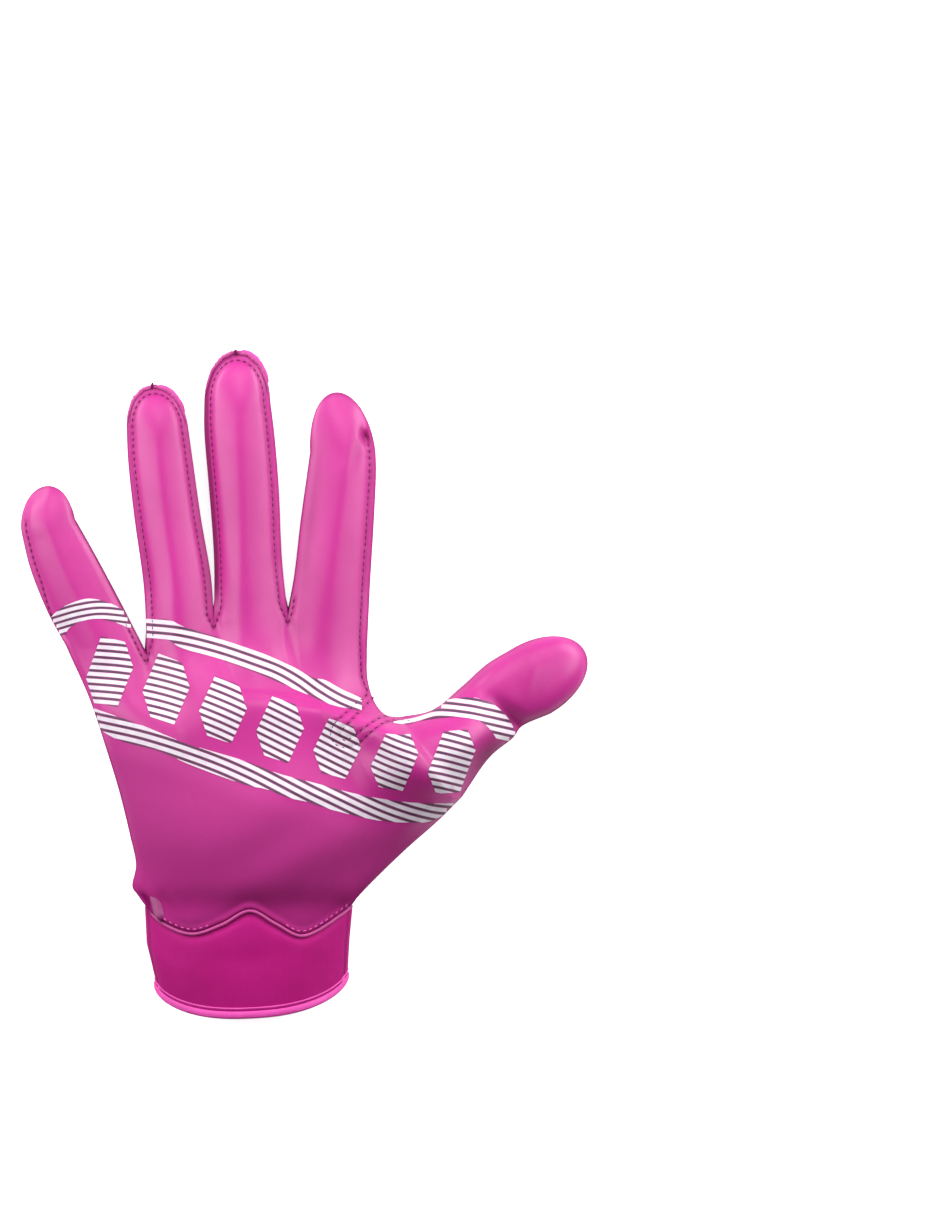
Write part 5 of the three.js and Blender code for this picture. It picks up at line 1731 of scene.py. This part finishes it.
def palm_finish():
    """Silicone-coated leather: a soft gloss that is worn dull on the heel, a fine pebble, and the seam mark's
    painted shade.
    """
    material, tree, shader = finish("coated leather", PALM_ROUGH["clean"])
    place = in_millimetres(tree)
    drift = dyed(tree, place, MAGENTA["palm"], MAGENTA["palm_deep"], CLOUD_SIZE["leather"])
    seam = node(tree, "ShaderNodeAttribute", attribute_name="seam").outputs["Fac"]
    worn = node(tree, "ShaderNodeAttribute", attribute_name="worn").outputs["Fac"]
    colour = colour_mix(tree, worn, drift["Colour"], MAGENTA["palm_worn"])
    # The seam mark mixes in the thread's dark tone: painted shade
    shade = math_node(tree, "MULTIPLY", seam, SEAM_PAINTED_SHADE["leather"], clamp=True)
    colour = colour_mix(tree, shade, colour, MAGENTA["thread"])
    tree.links.new(colour, shader.inputs["Base Color"])
    rough = math_node(tree, "MULTIPLY_ADD", drift["Cloud"], PALM_ROUGH["cloud"], PALM_ROUGH["clean"])
    rough = math_node(tree, "MULTIPLY_ADD", worn, PALM_ROUGH["worn"], rough)
    rough = math_node(tree, "MULTIPLY_ADD", seam, PALM_ROUGH["seam"], rough)
    tree.links.new(rough, shader.inputs["Roughness"])
    gloss = math_node(tree, "MULTIPLY_ADD", worn, PALM_GLOSS["worn"], PALM_GLOSS["clean"])
    gloss = math_node(tree, "MULTIPLY_ADD", seam, PALM_GLOSS["seam"], gloss, clamp=True)
    tree.links.new(gloss, shader.inputs["Specular IOR Level"])
    grain = placed_group(tree, PEBBLE_GRAIN, {"Place": place, "Size": PEBBLE["size"]})
    add_relief(tree, shader, grain["Height"], PEBBLE["depth"], PEBBLE["strength"])
    return material


def cloth_finish(name, tones, rough, wale, course, depth, **values):
    """A knitted or woven cloth in two tones, with its rows as relief, painted shade in the rows' hollows and
    the seam mark's painted shade.
    """
    material, tree, shader = finish(name, rough, **values)
    place = in_millimetres(tree)
    tone, deep_tone = MAGENTA[tones], MAGENTA[f"{tones}_deep"]
    drift = dyed(tree, place, tone, deep_tone, CLOUD_SIZE["cloth"])
    rows = placed_group(tree, KNIT_ROWS, {"Place": place, "Wale": wale, "Course": course})
    # The rows' hollows are mixed halfway to the deep tone: painted shade in them
    hollow = math_node(tree, "SUBTRACT", 1.0, rows["Height"], clamp=True)
    colour = colour_mix(tree, math_node(tree, "MULTIPLY", hollow, 0.5), drift["Colour"], deep_tone)
    # The seam mark mixes in the thread's dark tone: painted shade
    seam = node(tree, "ShaderNodeAttribute", attribute_name="seam").outputs["Fac"]
    shade = math_node(tree, "MULTIPLY", seam, SEAM_PAINTED_SHADE["cloth"])
    colour = colour_mix(tree, shade, colour, MAGENTA["thread"])
    tree.links.new(colour, shader.inputs["Base Color"])
    add_relief(tree, shader, rows["Height"], depth)
    return material


def thread_finish():
    """Twisted thread: slanting strands."""
    material, tree, shader = finish("thread", 0.8, Specular_IOR_Level=0.2)
    place = in_millimetres(tree)
    twist = {"Vector": place, "Scale": 1.1, "Distortion": 0.5}
    strands = node(tree, "ShaderNodeTexWave", twist, bands_direction="DIAGONAL")
    colour = colour_mix(tree, strands.outputs["Fac"], MAGENTA["thread"], MAGENTA["thread_deep"])
    tree.links.new(colour, shader.inputs["Base Color"])
    add_relief(tree, shader, strands.outputs["Fac"], 0.06)
    return material


def ink_finish(name, tone, worn_tone, rough):
    """A screen-printed ink: matt, mottled in two tones, with the leather's pebbles showing through."""
    material, tree, shader = finish(name, rough)
    place = in_millimetres(tree)
    drift = dyed(tree, place, tone, worn_tone, CLOUD_SIZE["ink"])
    tree.links.new(drift["Colour"], shader.inputs["Base Color"])
    grain = placed_group(tree, PEBBLE_GRAIN, {"Place": place, "Size": PEBBLE["size"]})
    add_relief(tree, shader, grain["Height"], PEBBLE["under_ink"], PEBBLE["strength"])
    return material


# The camera, the light and the floor

PHOTO_WIDTH, PHOTO_HEIGHT = 940, 1215
PHOTO_SCALE = 0.36
# The drawing's origin in the photograph, in its pixels
ORIGIN_PX = (302.5, 685.0)
# The camera's height and the height at which the photograph's scale holds, in metres, and its sensor in mm
CAMERA_HEIGHT = 4.0
OUTLINE_HEIGHT = 0.011
SENSOR = 36.0


def add_camera():
    """Looks straight down at the middle of the photograph, from far enough for an even scale."""
    x = (PHOTO_WIDTH / 2 - ORIGIN_PX[0]) * PHOTO_SCALE
    y = (ORIGIN_PX[1] - PHOTO_HEIGHT / 2) * PHOTO_SCALE
    data = bpy.data.cameras.new("camera")
    data.sensor_fit = "VERTICAL"
    data.sensor_height = SENSOR
    data.lens = SENSOR * (CAMERA_HEIGHT - OUTLINE_HEIGHT) / (PHOTO_HEIGHT * PHOTO_SCALE * MM)
    camera = bpy.data.objects.new("camera", data)
    camera.location = (*to_frame([x, y, 0])[:2], CAMERA_HEIGHT)
    bpy.context.scene.collection.objects.link(camera)
    bpy.context.scene.camera = camera


# The lights, with places and sizes in metres, and the point that they are aimed at
SOFTBOXES = [
    {"name": "top_light", "at": (0.0, 0.50, 0.55), "size": (0.4, 0.3), "watts": 1.7},
    {"name": "left_light", "at": (-0.60, 0.12, 0.50), "size": (0.3, 0.6), "watts": 3.4},
    {"name": "right_light", "at": (0.60, 0.12, 0.50), "size": (0.3, 0.6), "watts": 2.9},
    {"name": "low_left_light", "at": (-0.45, 0.40, 0.22), "size": (0.4, 0.2), "watts": 2.2},
    {"name": "low_right_light", "at": (0.45, 0.40, 0.22), "size": (0.4, 0.2), "watts": 2.7},
]
AIM = (0.0, 0.02, 0.0)
WORLD_GLOW = 0.04


def add_lights():
    """Soft boxes beyond the fingertips, at both sides and low at both far corners, all aimed at the glove,
    and a faint white world."""
    for row in SOFTBOXES:
        data = bpy.data.lights.new(row["name"], "AREA")
        data.shape = "RECTANGLE"
        data.size, data.size_y = row["size"]
        data.energy = row["watts"]
        light = bpy.data.objects.new(row["name"], data)
        light.location = row["at"]
        light.rotation_mode = "QUATERNION"
        light.rotation_quaternion = (Vector(AIM) - Vector(row["at"])).to_track_quat("-Z", "Y")
        bpy.context.scene.collection.objects.link(light)
    world = bpy.data.worlds.new("studio")
    world.use_nodes = True
    world.node_tree.nodes["Background"].inputs["Color"].default_value = (1, 1, 1, 1)
    world.node_tree.nodes["Background"].inputs["Strength"].default_value = WORLD_GLOW
    bpy.context.scene.world = world
    bpy.context.scene.view_settings.view_transform = "Standard"


FLOOR_GLOW = 0.8


def add_floor():
    """A plain pale floor just under the glove, lit up a little for the camera as a light table is."""
    half, drop = 3.0, -0.0004
    mesh = bpy.data.meshes.new("floor")
    corners = [(-half, -half, drop), (half, -half, drop), (half, half, drop), (-half, half, drop)]
    mesh.from_pydata(corners, [], [(0, 1, 2, 3)])
    pale = (0.95, 0.95, 0.95, 1)
    material, tree, shader = finish("pale floor", 0.9, Base_Color=pale, Specular_IOR_Level=0.1)
    seen = node(tree, "ShaderNodeLightPath").outputs["Is Camera Ray"]
    tree.links.new(math_node(tree, "MULTIPLY", seen, FLOOR_GLOW), shader.inputs["Emission Strength"])
    shader.inputs["Emission Color"].default_value = (1, 1, 1, 1)
    mesh.materials.append(material)
    floor = bpy.data.objects.new("floor", mesh)
    bpy.context.scene.collection.objects.link(floor)


add_camera()
add_lights()
add_floor()

leather = palm_finish()
knit = cloth_finish("stretch knit", "knit", rough=0.8, wale=0.9, course=0.7, depth=0.12, Sheen_Weight=0.25)
neoprene = {"rough": 0.6, "wale": 0.5, "course": 0.5, "depth": 0.02}
satin = cloth_finish("satin neoprene", "cuff", **neoprene, Specular_IOR_Level=0.12)
tape = cloth_finish("woven tape", "tape", rough=0.55, wale=0.55, course=0.4, depth=0.06, Sheen_Weight=0.1)
cord = cloth_finish("piping cord", "cord", rough=0.55, wale=0.55, course=0.4, depth=0.03)
brushed = cloth_finish("brushed loop", "strap", rough=0.9, wale=0.6, course=0.6, depth=0.2, Sheen_Weight=0.4)
thread = thread_finish()
# The white ink's pinkish tint is painted reflected light from the magenta leather
white_ink = ink_finish("white ink", (0.82, 0.76, 0.83, 1), (0.74, 0.67, 0.76, 1), 0.5)
grey_ink = ink_finish("grey ink", (0.055, 0.035, 0.065, 1), (0.11, 0.05, 0.10, 1), 0.6)

palm = palm_leather(leather)
knit_back(knit)
knit_thumb(knit)
for pair_index in range(len(FINGERS) - 1):
    side_wall(pair_index, knit)
cuff_half("cuff_satin_front", 1, "cuff_front", satin)
cuff_half("cuff_satin_back", -1, "cuff_back", satin)
hem_binding(tape)
hem_stitches(tape)
wave_cord(cord)
# The folded end gets the darker pleat tones: painted shade
pleat = cloth_finish("pleat", "pleat", rough=0.55, wale=0.55, course=0.4, depth=0.03)
wrist_pleat(palm, pleat)
closing_strap(brushed)
for tip_row in TIP_ROLLS:
    tip_roll(tip_row, palm, tape if "loop" in tip_row["name"] else cord)
tip_knots(palm, thread)

print_piece("white_lines", palm, WHITE_LINE, white_ink, "print_white")
print_piece("grey_lines", palm, GREY_LINE, grey_ink, "print_grey")
leather_rings = stitches_on(palm, FINGER_SEAMS + CROTCH_SEAMS, LEATHER_STITCH)
build("finger_stitches", *carried(leather_rings), thread, "thread")
build("web_stitches", *carried(stitches_on(palm, WEB_SEAMS, LEATHER_STITCH)), thread, "thread")
build("wave_stitches", *carried(stitches_on(palm, wave_stitch_lines(), WAVE_STITCH)), tape, "thread")
